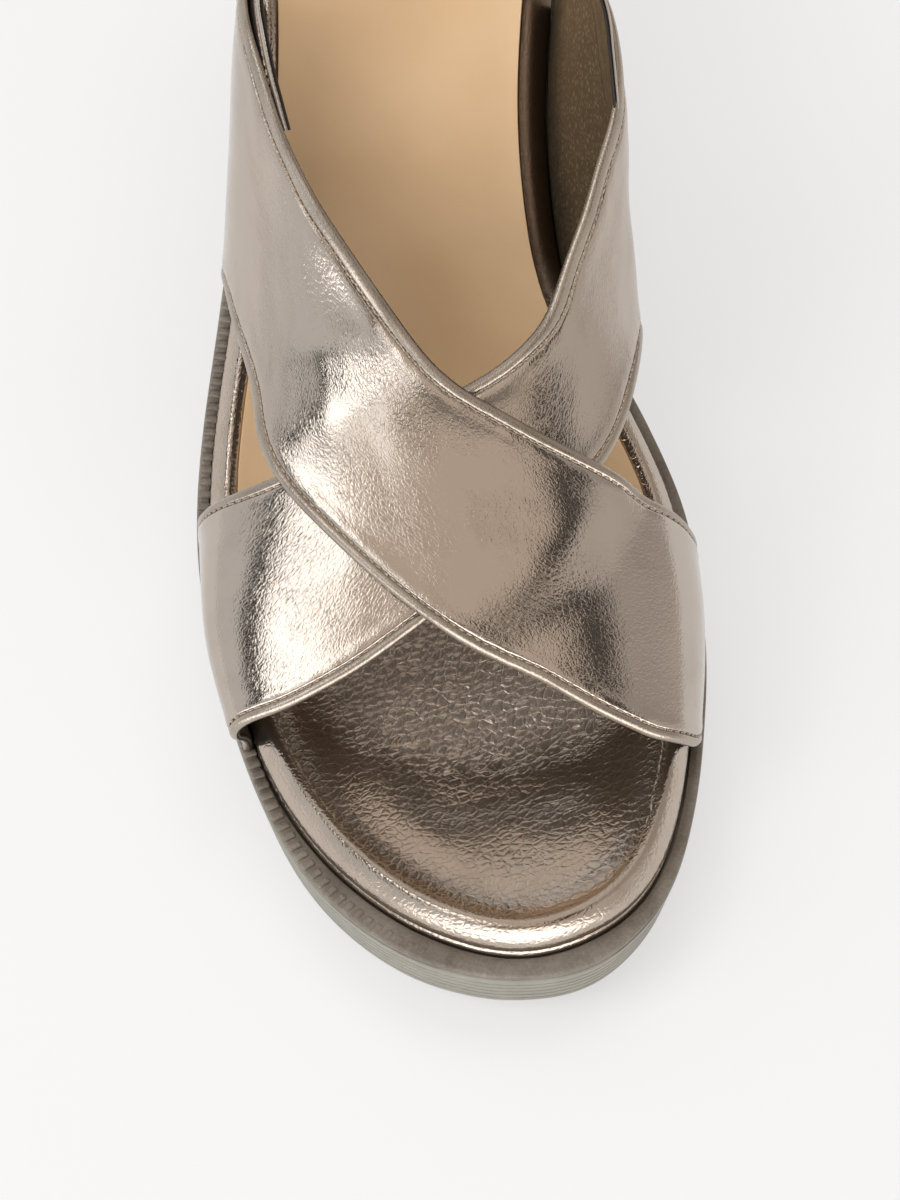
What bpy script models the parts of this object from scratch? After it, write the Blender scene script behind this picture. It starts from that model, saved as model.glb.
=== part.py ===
# Cross-strap heeled sandal, right shoe, standing empty on its sole.
# Metres. The toe points to -Y, the heel to +Y, the big toe side to +X and up is +Z.
# Shapes are worked out in the footbed's frame, with y = 0 at the toe tip of the footbed and z = 0 on the floor.

import math

import bpy
import bmesh
import numpy as np

# The last: length, width, pitch and girth
FOOTBED_LENGTH = 0.228
BALL_WIDTH = 0.0855
HEEL_HEIGHT = 0.072
TOE_SPRING = 0.0045
INSTEP_HEIGHT = 0.066

# Sole
PLATFORM_THICKNESS = 0.0115
WAIST_THICKNESS = 0.0062
SIDE_TAPER = 0.0020
SIDE_LINE_DEPTH = 0.0005
TREAD_DEPTH = 0.0012
TREAD_GROOVE_WIDTH = 0.0022
TREAD_PITCH = 0.0080
TREAD_MARGIN = 0.0080

# Heel
HEEL_TOP_LENGTH = 0.052
HEEL_BASE_LENGTH = 0.041
HEEL_BASE_WIDTH = 0.043
HEEL_BACK_SLOPE = 0.006
TOP_PIECE_THICKNESS = 0.0060

# Welt, footbed and sock
WELT_LEDGE = 0.0025
WELT_THICKNESS = 0.0016
WELT_BEVEL = 0.0005
FOOTBED_THICKNESS = 0.0090
RIM_WIDTH = 0.0046
DISH_DEPTH = 0.0010
DISH_END_POWER = 8
SOCK_FRONT = 0.0780
SOCK_THICKNESS = 0.0008

# Straps
STRAP_THICKNESS = 0.0018
STRAP_LAP_STEP = 0.00035
STRAP_JOIN_DEPTH = 0.0003
LAP_RAMP = 0.0070
SLING_WIDTH = 0.0115
SLING_THICKNESS = 0.0020

# Space left between pieces that touch
CLEARANCE = 0.0003

# How finely curved surfaces are divided
STATIONS = 44
CAP_COLUMNS = 6
STRAP_ROWS = 42
STRAP_COLUMNS = 9
SLING_SECTIONS = 56
SAME_POINT = 1e-7
FORM_STEP = 0.002
EDGE_STEP = 1e-4
SHARP_ANGLE = math.radians(40)

# Outline of the footbed: share of its length from the toe, edges as shares of half the ball width
OUTLINE = [
    dict(along=0.000, medial=0.13, lateral=-0.13),
    dict(along=0.008, medial=0.345, lateral=0.08),
    dict(along=0.028, medial=0.535, lateral=0.285),
    dict(along=0.065, medial=0.70, lateral=0.51),
    dict(along=0.116, medial=0.812, lateral=0.715),
    dict(along=0.190, medial=0.90, lateral=0.89),
    dict(along=0.290, medial=0.96, lateral=1.00),
    dict(along=0.380, medial=0.945, lateral=1.045),
    dict(along=0.430, medial=0.87, lateral=1.03),
    dict(along=0.480, medial=0.745, lateral=0.98),
    dict(along=0.550, medial=0.525, lateral=0.88),
    dict(along=0.630, medial=0.490, lateral=0.78),
    dict(along=0.740, medial=0.560, lateral=0.72),
    dict(along=0.840, medial=0.66, lateral=0.70),
    dict(along=0.920, medial=0.62, lateral=0.63),
    dict(along=0.975, medial=0.40, lateral=0.40),
    dict(along=1.000, medial=0.00, lateral=0.00),
]

# Width of the sole's ledge outside the footbed, as shares of WELT_LEDGE
LEDGE = [
    dict(along=0.000, medial=1.60, lateral=1.60),
    dict(along=0.010, medial=1.90, lateral=1.85),
    dict(along=0.030, medial=1.45, lateral=2.05),
    dict(along=0.065, medial=1.15, lateral=1.95),
    dict(along=0.120, medial=1.00, lateral=1.55),
    dict(along=0.190, medial=1.00, lateral=1.05),
    dict(along=0.260, medial=1.00, lateral=1.00),
    dict(along=1.000, medial=1.00, lateral=1.00),
]

# Side view of the sole: rise of its top as a share of the pitch, and how far its thickness has
# gone from the platform's to the waist's
PROFILE = [
    dict(along=0.00, rise=0.0, thinning=0.0),
    dict(along=0.34, rise=0.0, thinning=0.0),
    dict(along=0.42, rise=0.055, thinning=0.30),
    dict(along=0.52, rise=0.27, thinning=0.85),
    dict(along=0.62, rise=0.57, thinning=1.0),
    dict(along=0.70, rise=0.77, thinning=1.0),
    dict(along=0.80, rise=0.90, thinning=1.0),
    dict(along=1.00, rise=1.0, thinning=1.0),
]
SPRING_END = 0.20

# The foot's form over the footbed: height as a share of the instep, sideways place of the crown
# and swelling of the inner and outer sides as shares of half the ball width, and the power of its
# section, where 2 is an ellipse and more is squarer
FORM = [
    dict(along=0.00, height=0.20, crown=0.10, power=2.6, inner=0.00, outer=0.00),
    dict(along=0.15, height=0.36, crown=0.18, power=2.6, inner=0.07, outer=0.29),
    dict(along=0.25, height=0.50, crown=0.18, power=2.5, inner=0.06, outer=0.29),
    dict(along=0.38, height=0.70, crown=0.14, power=2.3, inner=0.05, outer=0.13),
    dict(along=0.46, height=0.82, crown=0.12, power=2.2, inner=0.09, outer=0.00),
    dict(along=0.52, height=0.91, crown=0.09, power=2.2, inner=0.32, outer=0.01),
    dict(along=0.58, height=0.98, crown=0.06, power=2.1, inner=0.45, outer=0.12),
    dict(along=0.64, height=1.06, crown=0.04, power=2.1, inner=0.44, outer=0.15),
    dict(along=0.72, height=1.18, crown=0.01, power=2.1, inner=0.36, outer=0.06),
    dict(along=1.00, height=1.30, crown=0.00, power=2.1, inner=0.10, outer=0.00),
]

# Edges of the two crossing straps: turn runs over the foot from the inner side to the outer side,
# front and rear are shares of the footbed's length
OVER_STRAP = [
    dict(turn=0.00, front=0.184, rear=0.366),
    dict(turn=0.07, front=0.166, rear=0.338),
    dict(turn=0.16, front=0.152, rear=0.328),
    dict(turn=0.27, front=0.147, rear=0.328),
    dict(turn=0.36, front=0.156, rear=0.343),
    dict(turn=0.46, front=0.180, rear=0.369),
    dict(turn=0.52, front=0.208, rear=0.396),
    dict(turn=0.58, front=0.251, rear=0.444),
    dict(turn=0.64, front=0.302, rear=0.492),
    dict(turn=0.70, front=0.352, rear=0.538),
    dict(turn=0.76, front=0.415, rear=0.616),
    dict(turn=0.82, front=0.470, rear=0.670),
    dict(turn=0.90, front=0.530, rear=0.715),
    dict(turn=1.00, front=0.572, rear=0.754),
]
UNDER_STRAP = [
    dict(turn=0.00, front=0.513, rear=0.737),
    dict(turn=0.09, front=0.490, rear=0.706),
    dict(turn=0.15, front=0.470, rear=0.674),
    dict(turn=0.20, front=0.447, rear=0.625),
    dict(turn=0.26, front=0.409, rear=0.560),
    dict(turn=0.33, front=0.358, rear=0.496),
    dict(turn=0.41, front=0.318, rear=0.438),
    dict(turn=0.48, front=0.287, rear=0.411),
    dict(turn=0.56, front=0.238, rear=0.385),
    dict(turn=0.65, front=0.202, rear=0.368),
    dict(turn=0.74, front=0.188, rear=0.360),
    dict(turn=0.85, front=0.187, rear=0.368),
    dict(turn=0.93, front=0.198, rear=0.386),
    dict(turn=1.00, front=0.206, rear=0.404),
]

# Route of the sling strap's middle from the inner side round the heel to the outer side: shares of
# the footbed's length, of half the ball width and of the instep height over the sole's top, and the
# lean of its upper edge inwards in degrees. Its ends lie inside the crossing straps.
SLING_ROUTE = [
    dict(along=0.583, across=0.640, height=0.600, lean=15.0),
    dict(along=0.620, across=0.632, height=0.620, lean=20.0),
    dict(along=0.665, across=0.612, height=0.630, lean=25.0),
    dict(along=0.765, across=0.605, height=0.660, lean=22.0),
    dict(along=0.870, across=0.490, height=0.740, lean=14.0),
    dict(along=0.935, across=0.280, height=0.810, lean=9.0),
    dict(along=0.962, across=0.020, height=0.835, lean=8.0),
    dict(along=0.935, across=-0.250, height=0.810, lean=9.0),
    dict(along=0.870, across=-0.450, height=0.740, lean=14.0),
    dict(along=0.765, across=-0.550, height=0.660, lean=22.0),
    dict(along=0.665, across=-0.605, height=0.620, lean=29.0),
    dict(along=0.620, across=-0.655, height=0.632, lean=30.0),
    dict(along=0.583, across=-0.655, height=0.652, lean=28.0),
]
SLING_TURN_CENTRE = 0.870

# Side of the footbed from its lower edge over the rim to the dish
FOOTBED_SIDE = [
    dict(inward=0.12, up=0.00),
    dict(inward=0.00, up=0.10),
    dict(inward=0.00, up=0.34),
    dict(inward=0.09, up=0.38),
    dict(inward=0.00, up=0.44),
    dict(inward=0.02, up=0.78),
    dict(inward=0.22, up=0.94),
    dict(inward=0.55, up=1.00),
    dict(inward=0.86, up=0.95),
    dict(inward=1.00, up=0.86),
]

# Side wall of the sole from the tread up: share of its height, share of the line depth
SOLE_SIDE = [
    dict(up=0.00, line=0.6),
    dict(up=0.05, line=0.0),
    dict(up=0.18, line=0.0),
    dict(up=0.22, line=1.0),
    dict(up=0.38, line=0.0),
    dict(up=0.42, line=1.0),
    dict(up=0.58, line=0.0),
    dict(up=0.62, line=1.0),
    dict(up=0.78, line=0.0),
    dict(up=0.82, line=1.0),
    dict(up=1.00, line=0.0),
]

# Heel block from the seat down: share of its height, share of the way to the base's outline
HEEL_SIDE = [
    dict(down=0.00, narrowing=0.0),
    dict(down=0.14, narrowing=0.34),
    dict(down=0.36, narrowing=0.68),
    dict(down=0.68, narrowing=0.92),
    dict(down=1.00, narrowing=1.0),
]


def column(table, name):
    return np.array([row[name] for row in table])


def smooth_through(xs, ys, x):
    """A cubic curve through the rows of a table that never swings past them."""
    step = np.diff(xs)
    rise = np.diff(ys) / step
    slope = np.zeros(len(ys))
    before, after = rise[:-1], rise[1:]
    same_way = before * after > 0
    weight = step[:-1] + 2 * step[1:], 2 * step[:-1] + step[1:]
    both = weight[0] + weight[1]
    inner = both[same_way] / (weight[0][same_way] / before[same_way] + weight[1][same_way] / after[same_way])
    slope[1:-1][same_way] = inner
    slope[0] = 1.5 * rise[0] - 0.5 * slope[1]
    slope[-1] = 1.5 * rise[-1] - 0.5 * slope[-2]
    x = np.clip(np.asarray(x, dtype=float), xs[0], xs[-1])
    row = np.clip(np.searchsorted(xs, x, side="right") - 1, 0, len(step) - 1)
    t = (x - xs[row]) / step[row]
    return (
        ys[row] * (1 + 2 * t) * (1 - t) ** 2
        + slope[row] * step[row] * t * (1 - t) ** 2
        + ys[row + 1] * t * t * (3 - 2 * t)
        - slope[row + 1] * step[row] * t * t * (1 - t)
    )


def read_table(table, key, name, x):
    return smooth_through(column(table, key), column(table, name), x)


def round_end(along):
    """Share of the length as a share of a half turn, which makes both ends of the outline round."""
    return np.arccos(1 - 2 * np.clip(along, 0, 1)) / math.pi


def smooth_step(x):
    x = np.clip(x, 0, 1)
    return x * x * (3 - 2 * x)


# The last

def footbed_edge(along, side):
    """Distance of the footbed's edge from the middle line, outwards on its own side."""
    turns = round_end(column(OUTLINE, "along"))
    return smooth_through(turns, column(OUTLINE, side), round_end(along)) * BALL_WIDTH / 2


def ledge_width(along, side):
    turns = round_end(column(LEDGE, "along"))
    return smooth_through(turns, column(LEDGE, side), round_end(along)) * WELT_LEDGE


def toe_lift(y):
    return TOE_SPRING * np.clip(1 - y / (SPRING_END * FOOTBED_LENGTH), 0, None) ** 2


def seat_height(y):
    """Height of the sole's top over the floor."""
    y = np.clip(y, 0, FOOTBED_LENGTH)
    rise = read_table(PROFILE, "along", "rise", y / FOOTBED_LENGTH)
    return PLATFORM_THICKNESS + (HEEL_HEIGHT - PLATFORM_THICKNESS) * rise + toe_lift(y)


def sole_thickness(y):
    thinning = read_table(PROFILE, "along", "thinning", y / FOOTBED_LENGTH)
    return PLATFORM_THICKNESS + (WAIST_THICKNESS - PLATFORM_THICKNESS) * np.clip(thinning, 0, 1)


def sole_bottom(y):
    return seat_height(y) - sole_thickness(y)


def strap_base():
    """Height of the straps' lower ends over the sole's top, just clear of the welt."""
    return WELT_THICKNESS + 2 * CLEARANCE


def form(along, turn):
    """Point on the foot's form, with turn 0 on the footbed's inner edge and 1 on its outer edge."""
    along, turn = np.broadcast_arrays(np.asarray(along, dtype=float), np.asarray(turn, dtype=float))
    height = read_table(FORM, "along", "height", along) * INSTEP_HEIGHT
    crown = read_table(FORM, "along", "crown", along) * BALL_WIDTH / 2
    power = 2 / read_table(FORM, "along", "power", along)
    inner = read_table(FORM, "along", "inner", along) * BALL_WIDTH / 2
    outer = read_table(FORM, "along", "outer", along) * BALL_WIDTH / 2
    angle = math.pi * turn
    cosine = np.cos(angle)
    inward = cosine > 0
    half_width = np.where(inward, footbed_edge(along, "medial") - crown, footbed_edge(along, "lateral") + crown)
    lift = np.minimum(angle, math.pi - angle)
    share = np.where(lift < math.pi / 4, np.sin(2 * lift) ** 2, np.cos(lift - math.pi / 4) ** 2)
    swelling = np.where(inward, inner, outer) * share
    x = crown + np.sign(cosine) * np.abs(cosine) ** power * (half_width + swelling)
    y = along * FOOTBED_LENGTH
    z = seat_height(y) + strap_base() + (height - strap_base()) * np.abs(np.sin(angle)) ** power
    return np.stack([x, y, z], axis=-1)


def form_frame(along, turn):
    """Point on the form and its outward normal."""
    along, turn = np.asarray(along), np.asarray(turn)
    ahead = form(along + FORM_STEP, turn) - form(along - FORM_STEP, turn)
    around = form(along, np.clip(turn + FORM_STEP, 0, 1)) - form(along, np.clip(turn - FORM_STEP, 0, 1))
    normal = np.cross(ahead, around)
    normal /= np.linalg.norm(normal, axis=-1)[..., None]
    return form(along, turn), normal


def off_form(along, turn, distance):
    point, normal = form_frame(along, turn)
    return point + np.asarray(distance)[..., None] * normal


# Building closed solids from point grids

def solid(name, polygons, material):
    """One mesh object from faces given by their corner points. Corners at one place become one point."""
    numbers = {}
    points = []
    faces = []
    for polygon in polygons:
        face = []
        for corner in polygon:
            key = tuple(int(round(value / SAME_POINT)) for value in corner)
            if key not in numbers:
                numbers[key] = len(points)
                points.append(tuple(float(value) for value in corner))
            if numbers[key] not in face:
                face.append(numbers[key])
        if len(face) > 2:
            faces.append(face)
    mesh = bpy.data.meshes.new(name)
    mesh.from_pydata(points, [], faces)
    shape = bmesh.new()
    shape.from_mesh(mesh)
    bmesh.ops.recalc_face_normals(shape, faces=shape.faces)
    bmesh.ops.triangulate(shape, faces=shape.faces)
    shape.to_mesh(mesh)
    shape.free()
    mesh.materials.append(material)
    mesh.shade_smooth()
    mesh.set_sharp_from_angle(angle=SHARP_ANGLE)
    shoe_part = bpy.data.objects.new(name, mesh)
    bpy.context.scene.collection.objects.link(shoe_part)
    return shoe_part


def grid_faces(grid):
    rows, columns = grid.shape[0] - 1, grid.shape[1] - 1
    for i in range(rows):
        for j in range(columns):
            yield grid[i, j], grid[i + 1, j], grid[i + 1, j + 1], grid[i, j + 1]


def grid_border(grid):
    """The points round a grid, in order."""
    return np.concatenate([grid[:-1, 0], grid[-1, :-1], grid[:0:-1, -1], grid[0, :0:-1]])


def wall_faces(border, next_border):
    for i in range(len(border)):
        k = (i + 1) % len(border)
        yield border[i], border[k], next_border[k], next_border[i]


def stacked_solid(name, grids, material):
    """A solid from grids of equal size one over the other. Only the first and last are filled."""
    polygons = list(grid_faces(grids[0])) + list(grid_faces(grids[-1]))
    for lower, upper in zip(grids[:-1], grids[1:]):
        polygons += wall_faces(grid_border(lower), grid_border(upper))
    return solid(name, polygons, material)


def ring_solid(name, borders, material):
    """A closed ring from borders that follow one another round its section."""
    polygons = []
    for i, border in enumerate(borders):
        polygons += wall_faces(border, borders[(i + 1) % len(borders)])
    return solid(name, polygons, material)


def plan_turns(first):
    """The outline's stations behind a share of the length, which every layer of the sole shares."""
    start = round_end(first)
    turns = np.linspace(0, 1, STATIONS + 1)
    behind = turns[turns > start + 0.5 / STATIONS]
    return np.concatenate([[start], behind])


def plan_grid(grow, ledge=0.0, first=0.0, columns=CAP_COLUMNS):
    """Plan of the footbed's outline, offset outwards by grow and by a share of the sole's ledge.

    It runs from a share of the length to the heel, and its rows from the inner to the outer edge.
    At a round end the row is one point."""
    turns = plan_turns(first)
    along = (1 - np.cos(math.pi * turns)) / 2
    edges = []
    for side, sign in (("medial", 1), ("lateral", -1)):
        before = np.clip(turns - EDGE_STEP, 0, 1)
        after = np.clip(turns + EDGE_STEP, 0, 1)
        ways = []
        for place in (before, after):
            share = (1 - np.cos(math.pi * place)) / 2
            ways.append(np.stack([sign * footbed_edge(share, side), share * FOOTBED_LENGTH], axis=-1))
        way = ways[1] - ways[0]
        way[-1] = (-sign, 0)
        if first == 0:
            way[0] = (sign, 0)
        way /= np.linalg.norm(way, axis=1)[:, None]
        outward = sign * np.stack([way[:, 1], -way[:, 0]], axis=-1)
        edge = np.stack([sign * footbed_edge(along, side), along * FOOTBED_LENGTH], axis=-1)
        offset = grow + ledge * ledge_width(along, side)
        edges.append(edge + offset[:, None] * outward)
    share = np.linspace(0, 1, columns + 1)[None, :, None]
    return edges[0][:, None] * (1 - share) + edges[1][:, None] * share


def raised(plan, height):
    """A plan grid with its heights worked out from each point's y."""
    return np.concatenate([plan, height(plan[..., 1])[..., None]], axis=-1)


def material(name, colour, roughness, metallic=0.0):
    """A Principled material. The colour is linear."""
    finish = bpy.data.materials.new(name)
    finish.use_nodes = True
    shader = finish.node_tree.nodes["Principled BSDF"]
    shader.inputs["Base Color"].default_value = (*colour, 1.0)
    shader.inputs["Roughness"].default_value = roughness
    shader.inputs["Metallic"].default_value = metallic
    finish.diffuse_color = (*colour, 1.0)
    return finish


# The pieces

def make_outsole(rubber):
    """Unit sole: platform, arch, thin waist and heel seat, with lines round its side and a cut tread."""
    grids = []
    for level in SOLE_SIDE:
        inward = SIDE_TAPER * (1 - level["up"]) + SIDE_LINE_DEPTH * level["line"]
        plan = plan_grid(-inward, ledge=1.0)
        grids.append(raised(plan, lambda y, up=level["up"]: sole_bottom(y) + up * sole_thickness(y)))
    outsole = stacked_solid("outsole", grids, rubber)
    cutter = make_tread_cutter(rubber)
    cut = outsole.modifiers.new("tread", "BOOLEAN")
    cut.operation = "DIFFERENCE"
    cut.solver = "EXACT"
    cut.object = cutter
    return outsole


def make_tread_cutter(rubber):
    """Bars that cut the grooves across the forefoot's tread."""
    polygons = []
    last = column(PROFILE, "along")[1] * FOOTBED_LENGTH
    y = 2 * TREAD_PITCH
    while y < last:
        along = np.array([y / FOOTBED_LENGTH])
        right = float(footbed_edge(along, "medial")[0]) - TREAD_MARGIN
        left = TREAD_MARGIN - float(footbed_edge(along, "lateral")[0])
        corners = []
        for end_y in (y - TREAD_GROOVE_WIDTH / 2, y + TREAD_GROOVE_WIDTH / 2):
            floor = float(toe_lift(np.array(end_y)))
            for x in (left, right):
                for z in (floor - TREAD_DEPTH, floor + TREAD_DEPTH):
                    corners.append((x, end_y, z))
        for face in ((0, 1, 3, 2), (4, 5, 7, 6), (0, 1, 5, 4), (2, 3, 7, 6), (0, 2, 6, 4), (1, 3, 7, 5)):
            polygons.append([corners[number] for number in face])
        y += TREAD_PITCH
    cutter = solid("tread_cutter", polygons, rubber)
    cutter.hide_render = True
    cutter.display_type = "WIRE"
    return cutter


def heel_plan(narrowing):
    """Outline of the heel, between the seat's outline and the same outline drawn down to the base."""
    first = 1 - HEEL_TOP_LENGTH / FOOTBED_LENGTH
    top = plan_grid(-SIDE_TAPER - SIDE_LINE_DEPTH, ledge=1.0, first=first)
    back = top[-1, 0, 1]
    front = top[0, :, 1].min()
    widest = top[..., 0].max() - top[..., 0].min()
    middle = (top[..., 0].max() + top[..., 0].min()) / 2
    base = top.copy()
    base[..., 0] = middle + (top[..., 0] - middle) * HEEL_BASE_WIDTH / widest
    base[..., 1] = back - HEEL_BACK_SLOPE - (back - top[..., 1]) * HEEL_BASE_LENGTH / (back - front)
    return top + (base - top) * narrowing


def make_heel_block(lacquer):
    """Block heel under the heel seat, narrowing to the top piece."""
    grids = []
    foot = TOP_PIECE_THICKNESS + CLEARANCE
    for level in HEEL_SIDE:
        plan = heel_plan(level["narrowing"])
        top = sole_bottom(heel_plan(0.0)[..., 1]) - CLEARANCE
        height = top + (foot - top) * level["down"]
        grids.append(np.concatenate([plan, height[..., None]], axis=-1))
    return stacked_solid("heel_block", grids[::-1], lacquer)


def make_heel_top_piece(rubber):
    """The rubber lift that the heel stands on."""
    plan = heel_plan(1.0)
    grids = []
    for height in (0.0, TOP_PIECE_THICKNESS):
        grids.append(raised(plan, lambda y, z=height: np.full_like(y, z)))
    return stacked_solid("heel_top_piece", grids, rubber)


def make_welt(leather):
    """The strip on the sole's ledge, round the footbed."""
    low = CLEARANCE
    high = CLEARANCE + WELT_THICKNESS
    section = [
        (CLEARANCE, 0.0, low),
        (0.0, 1.0, low),
        (0.0, 1.0, high - WELT_BEVEL),
        (-WELT_BEVEL, 1.0, high),
        (CLEARANCE, 0.0, high),
    ]
    borders = []
    for grow, ledge, up in section:
        plan = plan_grid(grow, ledge=ledge, columns=1)
        borders.append(grid_border(raised(plan, lambda y, up=up: seat_height(y) + up)))
    return ring_solid("welt", borders, leather)


def make_footbed(foil):
    """Padded insole board with a rolled rim round a shallow dish."""
    grids = []
    for level in FOOTBED_SIDE:
        up = CLEARANCE + (FOOTBED_THICKNESS - CLEARANCE) * level["up"]
        plan = plan_grid(-RIM_WIDTH * level["inward"])
        grids.append(raised(plan, lambda y, up=up: seat_height(y) + up))
    grids[-1][..., 2] -= dish_drop(grids[-1])
    return stacked_solid("footbed", grids, foil)


def dish_drop(plan):
    """How far the dish lies below its edge: nothing at the edge and DISH_DEPTH along the middle."""
    across = np.linspace(-1, 1, plan.shape[1])[None, :]
    along = (plan[:, :1, 1] - RIM_WIDTH) / (FOOTBED_LENGTH - 2 * RIM_WIDTH)
    fading = 1 - np.abs(1 - 2 * np.clip(along, 0, 1)) ** DISH_END_POWER
    drop = DISH_DEPTH * (1 - across ** 2) * fading
    drop[-1] = 0
    return drop


def make_sock_lining(leather):
    """The leather sock in the dish, from under the crossing straps to the heel."""
    plan = plan_grid(-RIM_WIDTH - CLEARANCE, first=SOCK_FRONT / FOOTBED_LENGTH)
    dish_edge = CLEARANCE + (FOOTBED_THICKNESS - CLEARANCE) * FOOTBED_SIDE[-1]["up"]
    grids = []
    for up in (CLEARANCE, CLEARANCE + SOCK_THICKNESS):
        grid = raised(plan, lambda y, up=up: seat_height(y) + dish_edge + up)
        grid[..., 2] -= dish_drop(plan)
        grids.append(grid)
    return stacked_solid("sock_lining", grids, leather)


def strap_grid(edges, inner_distance):
    """Inner and outer face of one strap, at a distance off the form given by a function.

    Both ends are cut level, just over the welt."""
    turn = np.linspace(0, 1, STRAP_ROWS + 1)
    front = read_table(edges, "turn", "front", turn)
    rear = read_table(edges, "turn", "rear", turn)
    share = np.linspace(0, 1, STRAP_COLUMNS + 1)[None, :]
    along = front[:, None] * (1 - share) + rear[:, None] * share
    turn = np.repeat(turn[:, None], STRAP_COLUMNS + 1, axis=1)
    distance = inner_distance(along, turn)
    faces = []
    for thickness in (0.0, STRAP_THICKNESS):
        face = off_form(along, turn, distance + thickness)
        for end in (0, -1):
            face[end, :, 2] = seat_height(face[end, :, 1]) + strap_base()
        faces.append(face)
    return faces


def over_distance(along, turn):
    """The over strap lies on the form and climbs onto the under strap where they cross."""
    front = read_table(UNDER_STRAP, "turn", "front", turn)
    rear = read_table(UNDER_STRAP, "turn", "rear", turn)
    inside = np.minimum(along - front, rear - along) * FOOTBED_LENGTH
    climb = STRAP_THICKNESS - STRAP_JOIN_DEPTH - STRAP_LAP_STEP
    return CLEARANCE + STRAP_LAP_STEP + climb * smooth_step(inside / LAP_RAMP)


def make_cross_straps(leather):
    """The upper: two wide straps over the foot, joined where they cross."""
    under = stacked_solid("under_strap", strap_grid(UNDER_STRAP, lambda a, t: np.full_like(a, CLEARANCE)), leather)
    under.hide_render = True
    under.display_type = "WIRE"
    over = stacked_solid("cross_straps", strap_grid(OVER_STRAP, over_distance), leather)
    join = over.modifiers.new("crossing", "BOOLEAN")
    join.operation = "UNION"
    join.solver = "EXACT"
    join.object = under
    return over


def sling_frames():
    """Points along the middle of the sling strap, with its direction across from edge to edge."""
    points = []
    uprights = []
    for row in SLING_ROUTE:
        y = row["along"] * FOOTBED_LENGTH
        x = row["across"] * BALL_WIDTH / 2
        points.append((x, y, seat_height(y) + row["height"] * INSTEP_HEIGHT))
        inward = np.array([-x, min(SLING_TURN_CENTRE * FOOTBED_LENGTH - y, 0.0), 0.0])
        inward /= np.linalg.norm(inward)
        lean = math.radians(row["lean"])
        uprights.append(inward * math.sin(lean) + np.array([0.0, 0.0, math.cos(lean)]))
    return np.array(points), np.array(uprights)


def make_sling_strap(leather):
    """Narrow strap sewn inside the two crossing straps and passing behind the heel."""
    points, uprights = sling_frames()
    steps = np.linalg.norm(np.diff(points, axis=0), axis=1)
    place = np.concatenate([[0], np.cumsum(steps)])
    place /= place[-1]
    share = np.linspace(0, 1, SLING_SECTIONS + 1)
    middle = np.stack([smooth_through(place, points[:, k], share) for k in range(3)], axis=-1)
    upright = np.stack([smooth_through(place, uprights[:, k], share) for k in range(3)], axis=-1)
    forward = np.gradient(middle, axis=0)
    forward /= np.linalg.norm(forward, axis=1)[:, None]
    upright -= forward * np.sum(upright * forward, axis=1)[:, None]
    upright /= np.linalg.norm(upright, axis=1)[:, None]
    outward = np.cross(forward, upright)
    grids = []
    for side in (-0.5, 0.5):
        face = []
        for edge in (-0.5, 0.5):
            face.append(middle + outward * side * SLING_THICKNESS + upright * edge * SLING_WIDTH)
        grids.append(np.stack(face, axis=1))
    return stacked_solid("sling_strap", grids, leather)


def main():
    for old in list(bpy.data.objects):
        bpy.data.objects.remove(old, do_unlink=True)

    foil = material("pewter_foil_leather", (0.30, 0.26, 0.22), 0.28, 0.85)
    footbed_foil = material("pewter_footbed_leather", (0.28, 0.24, 0.20), 0.32, 0.85)
    sling_leather = material("pewter_sling_leather", (0.31, 0.27, 0.23), 0.30, 0.85)
    sock_leather = material("nude_sock_leather", (0.58, 0.40, 0.27), 0.55)
    welt_leather = material("brown_welt", (0.055, 0.042, 0.032), 0.60)
    sole_rubber = material("taupe_sole_rubber", (0.20, 0.17, 0.145), 0.60)
    heel_lacquer = material("taupe_heel", (0.21, 0.18, 0.15), 0.50)
    top_rubber = material("dark_top_piece", (0.04, 0.035, 0.03), 0.70)

    pieces = [
        make_outsole(sole_rubber),
        make_welt(welt_leather),
        make_heel_block(heel_lacquer),
        make_heel_top_piece(top_rubber),
        make_footbed(footbed_foil),
        make_sock_lining(sock_leather),
        make_cross_straps(foil),
        make_sling_strap(sling_leather),
    ]

    # The shoe's origin is under the middle of its box, on the floor
    lowest = np.min([np.min([v.co for v in piece.data.vertices], axis=0) for piece in pieces], axis=0)
    highest = np.max([np.max([v.co for v in piece.data.vertices], axis=0) for piece in pieces], axis=0)
    shoe = bpy.data.objects.new("shoe_origin", None)
    bpy.context.scene.collection.objects.link(shoe)
    shoe.location = (-(lowest[0] + highest[0]) / 2, -(lowest[1] + highest[1]) / 2, 0.0)
    for piece in bpy.context.scene.objects:
        if piece.type == "MESH":
            piece.parent = shoe


main()
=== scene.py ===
# Looks of the right-foot cross-strap sandal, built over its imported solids.
# Metres. The toe points to -Y and the big toe side to +X. Shapes are worked out with y = 0 at the
# footbed's toe tip and z = 0 on the floor, then moved onto the solids.

import math

import bmesh
import bpy
import numpy as np
from mathutils import Matrix, Vector


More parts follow.
